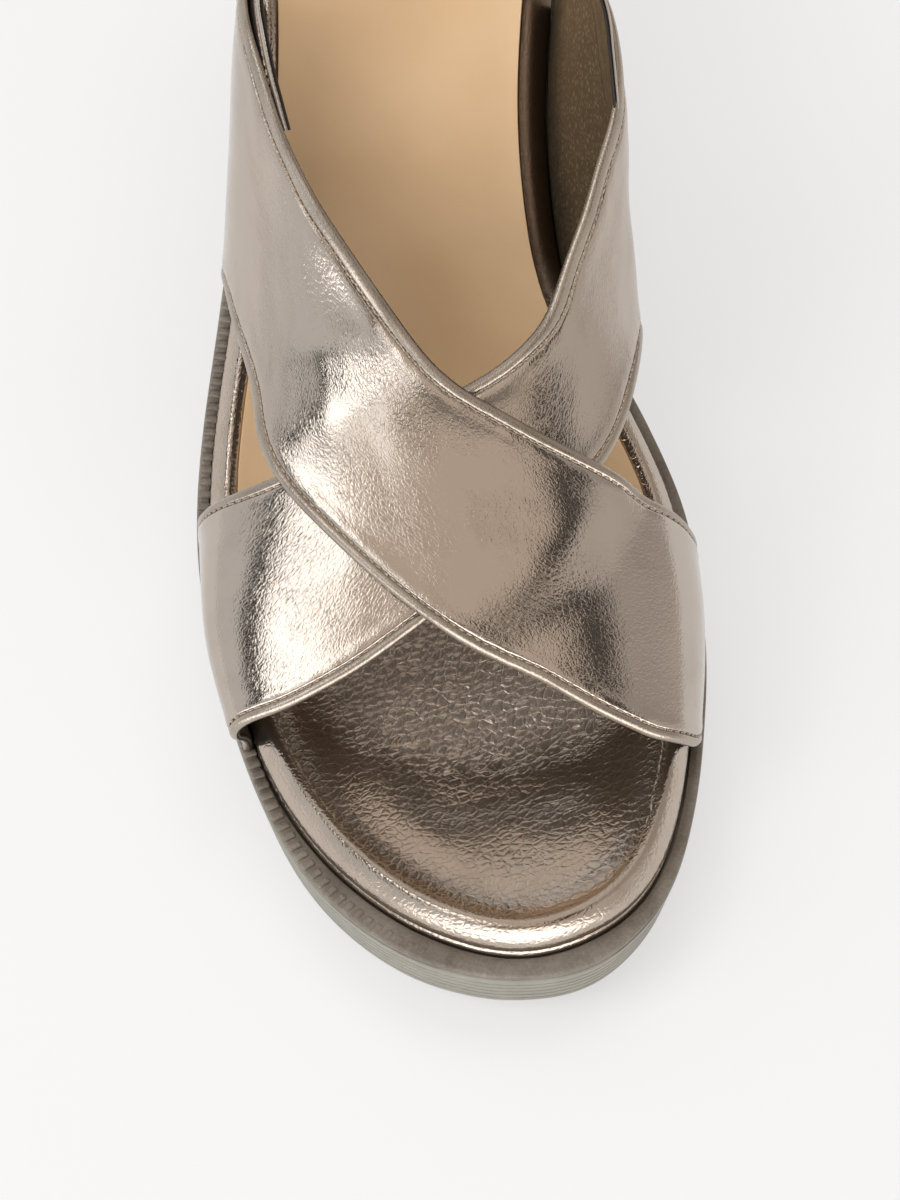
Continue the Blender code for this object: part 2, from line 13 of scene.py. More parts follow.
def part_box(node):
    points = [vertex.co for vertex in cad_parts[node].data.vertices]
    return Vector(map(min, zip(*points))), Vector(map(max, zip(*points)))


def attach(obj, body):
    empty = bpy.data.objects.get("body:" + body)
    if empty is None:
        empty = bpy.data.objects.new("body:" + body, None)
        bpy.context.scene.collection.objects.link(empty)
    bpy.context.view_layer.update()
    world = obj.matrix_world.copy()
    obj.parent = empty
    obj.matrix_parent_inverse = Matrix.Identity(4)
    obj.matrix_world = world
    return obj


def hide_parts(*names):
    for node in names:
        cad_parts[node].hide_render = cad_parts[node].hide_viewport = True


print("reading the packed solids")
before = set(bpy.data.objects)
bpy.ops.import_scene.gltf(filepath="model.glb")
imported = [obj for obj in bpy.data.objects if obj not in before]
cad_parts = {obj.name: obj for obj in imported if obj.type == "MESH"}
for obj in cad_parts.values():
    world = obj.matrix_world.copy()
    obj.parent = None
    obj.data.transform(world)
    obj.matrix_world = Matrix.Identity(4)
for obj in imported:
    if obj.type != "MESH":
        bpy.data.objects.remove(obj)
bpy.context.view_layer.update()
mm = 0.001

# sizes of the last, as in the part
last = dict(length=0.228, ballWidth=0.0855, heelHeight=0.072, toeSpring=0.0045, springEnd=0.20,
            instepHeight=0.066, platform=0.0115, waist=0.0062, ledge=0.0025, weltThickness=0.0016,
            gap=0.0003)
# how far each curve is softened: the seat in metres, the others as shares of their own run
soft = dict(seat=0.006, along=0.024, turn=0.03, loop=0.03, band=0.035)
nudge = 0.004  # the share that a direction on the foot is read over

outline = dict(
    along=[0, .008, .028, .065, .116, .190, .290, .380, .430, .480, .550, .630, .740, .840, .920, .975, 1],
    medial=[.13, .345, .535, .70, .812, .90, .96, .945, .87, .745, .525, .490, .560, .66, .62, .40, 0],
    lateral=[-.13, .08, .285, .51, .715, .89, 1.0, 1.045, 1.03, .98, .88, .78, .72, .70, .63, .40, 0])

ledgeShare = dict(
    along=[0, .010, .030, .065, .120, .190, .260, 1],
    medial=[1.60, 1.90, 1.45, 1.15, 1.0, 1.0, 1.0, 1.0],
    lateral=[1.60, 1.85, 2.05, 1.95, 1.55, 1.05, 1.0, 1.0])

sideView = dict(
    along=[0, .34, .42, .52, .62, .70, .80, 1],
    rise=[0, 0, .055, .27, .57, .77, .90, 1],
    thinning=[0, 0, .30, .85, 1, 1, 1, 1])

footForm = dict(
    along=[0, .15, .25, .38, .46, .52, .58, .64, .72, 1],
    height=[.20, .36, .50, .70, .82, .91, .98, 1.06, 1.18, 1.30],
    crown=[.10, .18, .18, .14, .12, .09, .06, .04, .01, 0],
    power=[2.6, 2.6, 2.5, 2.3, 2.2, 2.2, 2.1, 2.1, 2.1, 2.1],
    inner=[0, .07, .06, .05, .09, .32, .45, .44, .36, .10],
    outer=[0, .29, .29, .13, 0, .01, .12, .15, .06, 0])


# curves and surfaces of the last

def smoothThrough(xs, ys, x):
    xs, ys = np.asarray(xs, float), np.asarray(ys, float)
    step = np.diff(xs)
    rise = np.diff(ys) / step
    slope = np.zeros(len(ys))
    before, after = rise[:-1], rise[1:]
    same = before * after > 0  # no slope where the curve turns back, so it never swings past a row
    left, right = step[:-1] + 2 * step[1:], 2 * step[:-1] + step[1:]
    slope[1:-1][same] = (left + right)[same] / (left[same] / before[same] + right[same] / after[same])
    slope[0] = 1.5 * rise[0] - 0.5 * slope[1]
    slope[-1] = 1.5 * rise[-1] - 0.5 * slope[-2]
    x = np.clip(np.asarray(x, dtype=float), xs[0], xs[-1])
    row = np.clip(np.searchsorted(xs, x, side="right") - 1, 0, len(step) - 1)
    t = (x - xs[row]) / step[row]
    return (ys[row] * (1 + 2 * t) * (1 - t) ** 2 + slope[row] * step[row] * t * (1 - t) ** 2
            + ys[row + 1] * t * t * (3 - 2 * t) - slope[row + 1] * step[row] * t * t * (1 - t))


def smoothStep(x):
    x = np.clip(x, 0, 1)
    return x * x * (3 - 2 * x)


def blurred(function, place, reach):  # a soft average, so that no table row shows as a kink in the foil
    weights = ((-1, 1), (-.5, 4), (0, 6), (.5, 4), (1, 1))
    return sum(weight * function(place + offset * reach) for offset, weight in weights) / 16


def roundEnd(along):  # shares of the length as shares of a half turn, so that both ends come out round
    return np.arccos(1 - 2 * np.clip(along, 0, 1)) / math.pi


def readRound(table, side, along):
    return smoothThrough(roundEnd(np.array(table["along"])), table[side], roundEnd(along))


def footbedEdge(along, side):
    return readRound(outline, side, along) * last["ballWidth"] / 2


def unit(vectors):
    return vectors / np.linalg.norm(vectors, axis=-1)[..., None]


def walkAlong(points):  # how far it is from the first point to each, along the line
    return np.concatenate([[0], np.cumsum(np.linalg.norm(np.diff(points, axis=0), axis=1))])


def sharpSeat(y):
    y = np.clip(y, 0, last["length"])
    rise = smoothThrough(sideView["along"], sideView["rise"], y / last["length"])
    lift = last["toeSpring"] * np.clip(1 - y / (last["springEnd"] * last["length"]), 0, None) ** 2
    return last["platform"] + (last["heelHeight"] - last["platform"]) * rise + lift


def seatHeight(y):
    return blurred(sharpSeat, np.asarray(y, dtype=float), soft["seat"])


def soleThickness(y):
    thinning = smoothThrough(sideView["along"], sideView["thinning"], y / last["length"])
    return last["platform"] + (last["waist"] - last["platform"]) * np.clip(thinning, 0, 1)


def strapBase():
    return last["weltThickness"] + 2 * last["gap"]


def sharpForm(along, turn):
    half = last["ballWidth"] / 2
    read = {name: smoothThrough(footForm["along"], row, along)
            for name, row in footForm.items() if name != "along"}
    angle = math.pi * turn
    cosine = np.cos(angle)
    inward = cosine > 0
    edge = np.where(inward, footbedEdge(along, "medial"), footbedEdge(along, "lateral"))
    halfWidth = edge + np.where(inward, -1, 1) * read["crown"] * half
    lift = np.minimum(angle, math.pi - angle)
    share = np.where(lift < math.pi / 4, np.sin(2 * lift) ** 2, np.cos(lift - math.pi / 4) ** 2)
    swelling = np.where(inward, read["inner"], read["outer"]) * half * share
    power = 2 / read["power"]
    x = read["crown"] * half + np.sign(cosine) * np.abs(cosine) ** power * (halfWidth + swelling)
    y = along * last["length"]
    rise = read["height"] * last["instepHeight"] - strapBase()
    z = sharpSeat(y) + strapBase() + rise * np.abs(np.sin(angle)) ** power
    return np.stack([x, y, z], axis=-1)


def foot(along, turn):
    reach = np.minimum(soft["turn"], np.minimum(turn, 1 - turn))
    return blurred(lambda a: blurred(lambda t: sharpForm(a, t), turn, reach), along, soft["along"])


def footFrame(along, turn):  # the point on the foot, and the way out of it
    along, turn = np.broadcast_arrays(np.asarray(along, float), np.asarray(turn, float))
    ahead = foot(along + nudge, turn) - foot(along - nudge, turn)
    around = foot(along, np.clip(turn + nudge, 0, 1)) - foot(along, np.clip(turn - nudge, 0, 1))
    return foot(along, turn), unit(np.cross(ahead, around))


def loopAlong(loopTurn):
    # round the outline: 0 at the toe tip, 0 to 1 along the inner side and 1 to 2 back along the outer side
    loopTurn = np.mod(loopTurn, 2)
    return (1 - np.cos(math.pi * loopTurn)) / 2, loopTurn <= 1


def outlinePoint(loopTurn):
    along, inner = loopAlong(loopTurn)
    x = np.where(inner, footbedEdge(along, "medial"), -footbedEdge(along, "lateral"))
    return np.stack([x, along * last["length"]], axis=-1)


def ledgeWidth(loopTurn):
    along, inner = loopAlong(loopTurn)
    widths = [readRound(ledgeShare, side, along) for side in ("medial", "lateral")]
    return np.where(inner, *widths) * last["ledge"]


def outlineLoop(loopTurn, grow, ledge=0.0):  # the outline offset outwards, in plan
    place, ahead, behind = (blurred(outlinePoint, loopTurn + step, soft["loop"])
                            for step in (0, nudge, -nudge))
    way = unit(ahead - behind)
    offset = grow + ledge * blurred(ledgeWidth, loopTurn, soft["loop"])
    return place + np.asarray(offset)[..., None] * np.stack([way[..., 1], -way[..., 0]], axis=-1)


def planGrid(grow, turns, columns, ledge=0.0):  # rows from the inner to the outer edge
    edges = outlineLoop(turns, grow, ledge), outlineLoop(2 - turns, grow, ledge)
    share = np.linspace(0, 1, columns + 1)[None, :, None]
    return edges[0][:, None] * (1 - share) + edges[1][:, None] * share


# the shapes stand where the solids are
low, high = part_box("footbed")
wholeLoop = outlineLoop(np.linspace(0, 2, 400), 0.0)
shoePlace = np.array([(low.x + high.x - wholeLoop[:, 0].max() - wholeLoop[:, 0].min()) / 2, low.y, 0.0])


# meshes

def srgb(code):
    parts = [int(code[i:i + 2], 16) / 255 for i in (0, 2, 4)]
    return tuple(v / 12.92 if v <= 0.04045 else ((v + 0.055) / 1.055) ** 2.4 for v in parts) + (1.0,)


def finishMesh(mesh, materials, sharpAngle=50):
    shape = bmesh.new()
    shape.from_mesh(mesh)
    bmesh.ops.remove_doubles(shape, verts=shape.verts, dist=2e-6)
    bmesh.ops.dissolve_degenerate(shape, edges=shape.edges, dist=1e-6)
    bmesh.ops.recalc_face_normals(shape, faces=shape.faces)
    shape.to_mesh(mesh)
    shape.free()
    for material in materials:
        mesh.materials.append(material)
    mesh.shade_smooth()
    mesh.set_sharp_from_angle(angle=math.radians(sharpAngle))


def newPiece(name, mesh):
    piece = bpy.data.objects.new(name, mesh)
    bpy.context.scene.collection.objects.link(piece)
    return piece


def ringPiece(name, rings, columnSlots, materials, plan=None, closed=False, sharpAngle=50):
    # rings of points one after the other; each ring closes on itself, and the last may join the first
    count, size = rings.shape[:2]
    points = rings.reshape(-1, 3) + shoePlace
    rows = count if closed else count - 1
    i, j = np.meshgrid(np.arange(rows), np.arange(size), indexing="ij")
    nextRow, nextColumn = (i + 1) % count, (j + 1) % size
    corners = (i, j), (nextRow, j), (nextRow, nextColumn), (i, nextColumn)
    faces = np.stack([row * size + column for row, column in corners], -1).reshape(-1, 4)
    faces = [tuple(face) for face in faces.tolist()]
    slots = [int(slot) for slot in np.asarray(columnSlots)[j.reshape(-1)]]
    if not closed:
        for start in (0, (count - 1) * size):
            faces.append(tuple(range(start, start + size)))
            slots.append(int(columnSlots[0]))
    mesh = bpy.data.meshes.new(name)
    mesh.from_pydata(points.tolist(), [], faces)
    mesh.polygons.foreach_set("material_index", slots)
    if plan is not None:
        places = plan.reshape(-1, 2)
        corners = np.zeros(len(mesh.loops), dtype=np.int32)
        mesh.loops.foreach_get("vertex_index", corners)
        mesh.uv_layers.new(name="plan").data.foreach_set("uv", places[corners].reshape(-1))
    finishMesh(mesh, materials, sharpAngle)
    return newPiece(name, mesh)


def stackedPiece(name, grids, materials, sharpAngle=50):
    # grids of equal size over one another: the first and last are filled, the others give the side
    polygons = []
    for grid in (grids[0], grids[-1]):
        for i in range(grid.shape[0] - 1):
            for j in range(grid.shape[1] - 1):
                polygons.append((grid[i, j], grid[i + 1, j], grid[i + 1, j + 1], grid[i, j + 1]))
    borders = [np.concatenate([g[:-1, 0], g[-1, :-1], g[:0:-1, -1], g[0, :0:-1]]) for g in grids]
    for lower, upper in zip(borders[:-1], borders[1:]):
        for i in range(len(lower)):
            k = (i + 1) % len(lower)
            polygons.append((lower[i], lower[k], upper[k], upper[i]))
    numbers, points, faces = {}, [], []
    for polygon in polygons:
        face = []
        for corner in polygon:
            key = tuple(np.round(corner * 1e6).astype(int).tolist())
            if key not in numbers:
                numbers[key] = len(points)
                points.append((np.asarray(corner) + shoePlace).tolist())
            if numbers[key] not in face:
                face.append(numbers[key])
        if len(face) > 2:
            faces.append(face)
    mesh = bpy.data.meshes.new(name)
    mesh.from_pydata(points, [], faces)
    finishMesh(mesh, materials, sharpAngle)
    return newPiece(name, mesh)


def raised(plan, z):
    return np.concatenate([plan, z[..., None]], axis=-1)


def setInputs(tree, node, inputs):
    # a value is a number or a colour, a socket, or a node whose first output in use is meant
    for key, value in inputs.items():
        if isinstance(value, bpy.types.Node):
            value = next(socket for socket in value.outputs if socket.enabled)
        if isinstance(value, bpy.types.NodeSocket):
            tree.links.new(value, node.inputs[key])
        else:
            node.inputs[key].default_value = value
    return node


def addNode(tree, kind, inputs=None, **settings):
    node = tree.nodes.new(kind)
    for name, value in settings.items():
        setattr(node, name, value)
    return setInputs(tree, node, inputs or {})


# pieces that repeat along a path

def buildRepeatTree():
    # copies a small shape along each path; its X runs along the path and its Z off the surface
    tree = bpy.data.node_groups.new("repeatAlongPath", "GeometryNodeTree")
    sockets = dict(Geometry="Geometry", Shape="Object", Spacing="Float", Sway="Float", Seed="Int",
                   Finish="Material")
    for name, kind in sockets.items():
        tree.interface.new_socket(name, in_out="INPUT", socket_type="NodeSocket" + kind)
    tree.interface.new_socket("Geometry", in_out="OUTPUT", socket_type="NodeSocketGeometry")
    given = addNode(tree, "NodeGroupInput").outputs
    path = addNode(tree, "GeometryNodeMeshToCurve", {"Mesh": given["Geometry"]})
    spaced = addNode(tree, "GeometryNodeResampleCurve", {"Curve": path, "Length": given["Spacing"]},
                     mode="LENGTH")
    facing = addNode(tree, "GeometryNodeInputNamedAttribute", {"Name": "facing"}, data_type="FLOAT_VECTOR")
    tangent = addNode(tree, "GeometryNodeInputTangent")
    turned = addNode(tree, "FunctionNodeAxesToRotation", {"Primary Axis": facing, "Secondary Axis": tangent},
                     primary_axis="Z", secondary_axis="X")
    swayLow = addNode(tree, "ShaderNodeMath", {0: given["Sway"], 1: -1.0}, operation="MULTIPLY")
    sway = addNode(tree, "FunctionNodeRandomValue", {2: swayLow, 3: given["Sway"], "Seed": given["Seed"]},
                   data_type="FLOAT")
    swayed = addNode(tree, "ShaderNodeCombineXYZ", {"Z": sway.outputs[1]})
    loose = addNode(tree, "FunctionNodeEulerToRotation", {"Euler": swayed})
    rotation = addNode(tree, "FunctionNodeRotateRotation", {"Rotation": turned, "Rotate By": loose},
                       rotation_space="LOCAL")
    shape = addNode(tree, "GeometryNodeObjectInfo", {"Object": given["Shape"]}, transform_space="ORIGINAL")
    copies = addNode(tree, "GeometryNodeInstanceOnPoints",
                     {"Points": spaced, "Instance": shape.outputs["Geometry"], "Rotation": rotation})
    whole = addNode(tree, "GeometryNodeRealizeInstances", {"Geometry": copies})
    painted = addNode(tree, "GeometryNodeSetMaterial", {"Geometry": whole, "Material": given["Finish"]})
    addNode(tree, "NodeGroupOutput", {"Geometry": painted})
    return tree


repeatTree = buildRepeatTree()


def repeatAlong(name, paths, shape, finish, spacing, sway=0.0, seed=1):
    # paths is a list of (points, facings)
    points, facings, edges = [], [], []
    for path, facing in paths:
        start = len(points)
        points += (np.asarray(path) + shoePlace).tolist()
        facings += np.asarray(facing).tolist()
        edges += [(start + i, start + i + 1) for i in range(len(path) - 1)]
    mesh = bpy.data.meshes.new(name + "Path")
    mesh.from_pydata(points, edges, [])
    facing = mesh.attributes.new("facing", "FLOAT_VECTOR", "POINT")
    facing.data.foreach_set("vector", np.array(facings).reshape(-1))
    carrier = newPiece(name + "Path", mesh)
    modifier = carrier.modifiers.new("repeat", "NODES")
    modifier.node_group = repeatTree
    named = {item.name: item.identifier for item in repeatTree.interface.items_tree if item.in_out == "INPUT"}
    values = {"Shape": shape, "Spacing": spacing, "Sway": sway, "Seed": seed, "Finish": finish}
    for label, value in values.items():
        modifier[named[label]] = value
    carrier.update_tag()
    seen = carrier.evaluated_get(bpy.context.evaluated_depsgraph_get())
    result = bpy.data.meshes.new_from_object(seen)
    result.name = name
    result.materials.clear()
    result.materials.append(finish)
    result.shade_smooth()
    bpy.data.objects.remove(carrier, do_unlink=True)
    bpy.data.objects.remove(shape, do_unlink=True)
    return newPiece(name, result)


def threadShape(length, width, height):
    mesh = bpy.data.meshes.new("threadShape")
    shape = bmesh.new()
    bmesh.ops.create_uvsphere(shape, u_segments=6, v_segments=6, radius=0.5)
    bmesh.ops.rotate(shape, verts=shape.verts, matrix=Matrix.Rotation(math.pi / 2, 3, "Y"))
    bmesh.ops.scale(shape, verts=shape.verts, vec=(length, width, height))
    shape.to_mesh(mesh)
    shape.free()
    return newPiece("threadShape", mesh)


def blockShape(length, width, height, bevel):
    mesh = bpy.data.meshes.new("blockShape")
    shape = bmesh.new()
    bmesh.ops.create_cube(shape, size=1.0)
    bmesh.ops.scale(shape, verts=shape.verts, vec=(length, width, height))
    bmesh.ops.bevel(shape, geom=shape.edges, offset=bevel, segments=2, affect="EDGES", profile=0.5)
    shape.to_mesh(mesh)
    shape.free()
    return newPiece("blockShape", mesh)


# materials

def newMaterial(name, colour, roughness, metallic=0.0, **sockets):
    material = bpy.data.materials.new(name)
    material.use_nodes = True
    tree = material.node_tree
    shader = tree.nodes["Principled BSDF"]
    setInputs(tree, shader, {"Base Color": srgb(colour), "Roughness": roughness, "Metallic": metallic})
    setInputs(tree, shader, {socket.replace("_", " "): value for socket, value in sockets.items()})
    return material, tree, shader


def bumped(tree, shader, layers):  # layers of (height from 0 to 1, depth in metres)
    total = 0.0
    for height, depth in layers:
        total = addNode(tree, "ShaderNodeMath", {0: height, 1: depth / mm, 2: total},
                        operation="MULTIPLY_ADD")
    setInputs(tree, shader, {"Normal": addNode(tree, "ShaderNodeBump", {"Height": total, "Distance": mm})})


# widths and depths in metres; low is the share of the relief that is left where the hide lies calm
foil = dict(colour="bcb1a6", worn="b1a59a", wornPatch=9 * mm, metallic=0.95, roughness=0.11,
            sand=0.38 * mm, sandDepth=0.026 * mm, cell=0.80 * mm, cellDepth=0.020 * mm, cellDraw=0.65,
            pull=0.55 * mm, pullDepth=0.042 * mm, pullDraw=0.38, turn=0.45, patch=9 * mm, low=0.35)
# the turned edge outside the stitches is pressed, so it is rougher and duller; its darker colour is painted
# shade, for the light its narrow fold does not mirror
turnedFoilShadedSizes = dict(foil, colour="b0a599", worn="968b80", sandDepth=0.034 * mm, pullDepth=0.020 * mm,
                       roughness=0.27)
# the footbed's toe is crackled round a middle, out to a frayed edge at its reach, and smooth beyond;
# each ramp of the inner waist's painted shade, dark brown where the under strap shades the rim, has an axis
# and where on it the brown starts and is full
footbedFoilSizes = dict(foil, colour="bcafa2", worn="ad9f91", roughness=0.14, sandDepth=0.036 * mm,
                        cell=1.30 * mm, cellDepth=0.24 * mm, pull=1.1 * mm, pullDepth=0.12 * mm, pullDraw=0.7,
                        turn=-0.6, patch=16 * mm, low=0.75,
                        crackled=(.003, .066, .024), reach=(.034, .027, .020), fray=0.15, smooth=0.16,
                        # dark, its roughness and its ramps are painted shade on the inner waist's rim
                        crackledRoughness=0.09, crackledMetallic=0.64, dark="6b5848", paintedShadeRoughness=0.25,
                        paintedShadeRamps=[(0, .006, .012), (1, .114, .128), (1, .206, .186)])


def makeFoilLeather(name, sizes, useUv):
    # pewter foil laminated on tumbled cow leather: mirror sheen, broken by sand grain, pebble cells and fine
    # pulls; the sand grain is drawn coarser than real, so that it shows
    material, tree, shader = newMaterial(name, sizes["colour"], sizes["roughness"], sizes["metallic"])
    texture = addNode(tree, "ShaderNodeTexCoord").outputs
    place = texture["UV"] if useUv else texture["Object"]  # the straps' plan is in metres along and across
    bent = addNode(tree, "ShaderNodeTexNoise",
                   {"Vector": place, "Scale": 1 / (sizes["cell"] * 2.2), "Detail": 1.0})
    bend = addNode(tree, "ShaderNodeVectorMath", {0: bent.outputs["Color"], 1: (.5, .5, .5)},
                   operation="SUBTRACT")
    bend = addNode(tree, "ShaderNodeVectorMath", {0: bend, "Scale": sizes["cell"] * 1.1}, operation="SCALE")
    loose = addNode(tree, "ShaderNodeVectorMath", {0: place, 1: bend}, operation="ADD")
    turned = addNode(tree, "ShaderNodeMapping", {"Vector": loose, "Rotation": (0, 0, sizes["turn"])})
    forPulls = addNode(tree, "ShaderNodeMapping", {"Vector": turned, "Scale": (sizes["pullDraw"], 1, 1)})
    forCells = addNode(tree, "ShaderNodeMapping", {"Vector": turned, "Scale": (sizes["cellDraw"], 1, 1)})
    sand = addNode(tree, "ShaderNodeTexNoise", {"Vector": place, "Scale": 1 / sizes["sand"], "Detail": 1.0})
    cells = addNode(tree, "ShaderNodeTexVoronoi", {"Vector": forCells, "Scale": 1 / sizes["cell"]},
                    feature="DISTANCE_TO_EDGE")
    cells = addNode(tree, "ShaderNodeMapRange", {"Value": cells, "From Max": 0.30})
    cells = addNode(tree, "ShaderNodeMath", {0: cells, 1: 0.6}, operation="POWER")
    pulls = addNode(tree, "ShaderNodeTexNoise", {"Vector": forPulls, "Scale": 1 / sizes["pull"],
                                                 "Roughness": 0.55, "Distortion": 0.4})
    patches = addNode(tree, "ShaderNodeTexNoise",
                      {"Vector": place, "Scale": 1 / sizes["patch"], "Detail": 1.0})
    where = addNode(tree, "ShaderNodeMapRange",
                    {"Value": patches, "From Min": 0.34, "From Max": 0.62, "To Min": sizes["low"]})
    if "crackled" in sizes:
        middle = tuple(value + move for value, move in zip(sizes["crackled"], shoePlace))
        fray = sizes["fray"]
        away = addNode(tree, "ShaderNodeVectorMath", {0: place, 1: middle}, operation="SUBTRACT")
        away = addNode(tree, "ShaderNodeVectorMath", {0: away, 1: sizes["reach"]}, operation="DIVIDE")
        away = addNode(tree, "ShaderNodeVectorMath", {0: away}, operation="LENGTH")
        ragged = addNode(tree, "ShaderNodeMapRange", {"Value": pulls, "To Min": -fray, "To Max": fray})
        ragged = addNode(tree, "ShaderNodeMath", {0: away, 1: ragged}, operation="ADD")
        crackled = addNode(tree, "ShaderNodeMapRange", {"Value": ragged, "From Min": 1 - fray,
                                                        "From Max": 1 + fray, "To Min": 1.0, "To Max": 0.0})
        share = addNode(tree, "ShaderNodeMapRange", {"Value": crackled, "To Min": sizes["smooth"]})
        where = addNode(tree, "ShaderNodeMath", {0: where, 1: share}, operation="MULTIPLY")
    layers = [(addNode(tree, "ShaderNodeMath", {0: height, 1: where}, operation="MULTIPLY"), sizes[depth])
              for height, depth in ((pulls, "pullDepth"), (cells, "cellDepth"))]
    bumped(tree, shader, layers + [(sand, sizes["sandDepth"])])
    worn = addNode(tree, "ShaderNodeTexNoise",
                   {"Vector": place, "Scale": 1 / sizes["wornPatch"], "Detail": 4.0})
    worn = addNode(tree, "ShaderNodeMapRange", {"Value": worn, "From Min": 0.45, "From Max": 0.75})
    grains = addNode(tree, "ShaderNodeMapRange",
                     {"Value": sand, "From Min": 0.35, "From Max": 0.65, "To Min": 0.6})
    shade = addNode(tree, "ShaderNodeMath", {0: worn, 1: grains}, operation="MULTIPLY")
    tone = addNode(tree, "ShaderNodeMix",
                   {"Factor": shade, "A": srgb(sizes["colour"]), "B": srgb(sizes["worn"])}, data_type="RGBA")
    rough = addNode(tree, "ShaderNodeMapRange",
                    {"Value": sand, "From Min": 0.3, "From Max": 0.7,
                     "To Min": sizes["roughness"] - 0.03, "To Max": sizes["roughness"] + 0.06})
    if "crackled" in sizes:
        rough = addNode(tree, "ShaderNodeMath", {0: crackled, 1: sizes["crackledRoughness"], 2: rough},
                        operation="MULTIPLY_ADD")
        metal = addNode(tree, "ShaderNodeMapRange", {"Value": crackled, "To Min": sizes["metallic"],
                                                     "To Max": sizes["crackledMetallic"]})
        setInputs(tree, shader, {"Metallic": metal})
        axes = addNode(tree, "ShaderNodeSeparateXYZ", {"Vector": place}).outputs
        dark = 1.0  # painted shade: the inner waist's rim, in the under strap's shade, is turned dark brown
        for axis, start, full in sizes["paintedShadeRamps"]:
            ramp = addNode(tree, "ShaderNodeMapRange",
                           {"Value": axes[axis], "From Min": start + shoePlace[axis],
                            "From Max": full + shoePlace[axis]})
            dark = addNode(tree, "ShaderNodeMath", {0: dark, 1: ramp}, operation="MULTIPLY")
        # painted shade: dark brown mixed over the foil where the ramps meet
        tone = addNode(tree, "ShaderNodeMix", {"Factor": dark, "A": tone, "B": srgb(sizes["dark"])},
                       data_type="RGBA")
        rough = addNode(tree, "ShaderNodeMath", {0: dark, 1: sizes["paintedShadeRoughness"], 2: rough},
                        operation="MULTIPLY_ADD")
    setInputs(tree, shader, {"Base Color": tone, "Roughness": rough})
    return material


hide = dict(pebble=0.85 * mm, pore=1.6 * mm, draw=11 * mm, drawDepth=1.8 * mm, grainDepth=0.05 * mm,
            dark="574b3b", light="7d715c")


def makeLining():
    # pearl finished pigskin lining, gold brown: satin, with a pebble grain and a few soft draws; the pebbles
    # are drawn coarser than real, so that they show
    material, tree, shader = newMaterial("pearlPigskinLining", "6b5a40", 0.36, 0.55)
    place = addNode(tree, "ShaderNodeTexCoord").outputs["UV"]
    pebbles = addNode(tree, "ShaderNodeTexVoronoi", {"Vector": place, "Scale": 1 / hide["pebble"]},
                      feature="DISTANCE_TO_EDGE")
    pebbles = addNode(tree, "ShaderNodeMapRange", {"Value": pebbles, "From Max": 0.35})
    pores = addNode(tree, "ShaderNodeTexNoise", {"Vector": place, "Scale": 1 / hide["pore"], "Detail": 3.0})
    drawn = addNode(tree, "ShaderNodeMapping",
                    {"Vector": place, "Rotation": (0, 0, 0.5), "Scale": (0.4, 1, 1)})
    draws = addNode(tree, "ShaderNodeTexNoise", {"Vector": drawn, "Scale": 1 / hide["draw"], "Detail": 1.0})
    bumped(tree, shader, [(draws, hide["drawDepth"]), (pores, hide["grainDepth"]),
                          (pebbles, hide["grainDepth"])])
    shade = addNode(tree, "ShaderNodeMath", {0: pebbles, 1: pores}, operation="MULTIPLY")
    shade = addNode(tree, "ShaderNodeMapRange", {"Value": shade, "From Min": 0.1, "From Max": 0.6})
    tone = addNode(tree, "ShaderNodeMix",
                   {"Factor": shade, "A": srgb(hide["dark"]), "B": srgb(hide["light"])}, data_type="RGBA")
    setInputs(tree, shader, {"Base Color": tone})
    return material


def makeEdgePaint():
    # black brown acrylic edge paint, brushed on: glossy, slightly lumpy
    material, tree, shader = newMaterial("brushedEdgePaint", "1d1815", 0.32)
    place = addNode(tree, "ShaderNodeTexCoord").outputs["Object"]
    lumps = addNode(tree, "ShaderNodeTexNoise", {"Vector": place, "Scale": 1 / (0.9 * mm)})
    bumped(tree, shader, [(lumps, 0.05 * mm)])
    return material


def makeThread():
    # bonded polyester thread in the straps' taupe: soft sheen, twisted plies
    material, tree, shader = newMaterial("bondedPolyesterThread", "8f8070", 0.45, 0.1, Sheen_Weight=0.2)
    place = addNode(tree, "ShaderNodeTexCoord").outputs["Object"]
    plies = addNode(tree, "ShaderNodeTexNoise", {"Vector": place, "Scale": 1 / (0.35 * mm)})
    shade = addNode(tree, "ShaderNodeMapRange", {"Value": plies, "From Min": 0.35, "From Max": 0.65})
    tone = addNode(tree, "ShaderNodeMix", {"Factor": shade, "A": srgb("75685a"), "B": srgb("b3a390")},
                   data_type="RGBA")
    setInputs(tree, shader, {"Base Color": tone})
    bumped(tree, shader, [(shade, 0.03 * mm)])
    return material


def makeNudeLeather():
    # aniline dyed goat lining leather, pressed smooth: even nude colour, satin, faint pores
    material, tree, shader = newMaterial("pressedNudeLeather", "d3b08a", 0.5, 0.0, Specular_IOR_Level=0.4)
    place = addNode(tree, "ShaderNodeTexCoord").outputs["Object"]
    clouds = addNode(tree, "ShaderNodeTexNoise", {"Vector": place, "Scale": 1 / (22 * mm), "Detail": 3.0})
    pores = addNode(tree, "ShaderNodeTexNoise", {"Vector": place, "Scale": 1 / (0.30 * mm)})
    waves = addNode(tree, "ShaderNodeTexNoise", {"Vector": place, "Scale": 1 / (4 * mm)})
    shades = [addNode(tree, "ShaderNodeMapRange",
                      {"Value": value, "From Min": 0.3, "From Max": 0.7, "To Max": share})
              for value, share in ((clouds, 0.8), (pores, 0.2))]
    shade = addNode(tree, "ShaderNodeMath", dict(enumerate(shades)), operation="ADD")
    tone = addNode(tree, "ShaderNodeMix", {"Factor": shade, "A": srgb("dab68c"), "B": srgb("e2c199")},
                   data_type="RGBA")
    rough = addNode(tree, "ShaderNodeMapRange", {"Value": clouds, "From Min": 0.3, "From Max": 0.7,
                                                 "To Min": 0.44, "To Max": 0.56})
    setInputs(tree, shader, {"Base Color": tone, "Roughness": rough})
    bumped(tree, shader, [(waves, 0.04 * mm), (pores, 0.010 * mm)])
    return material


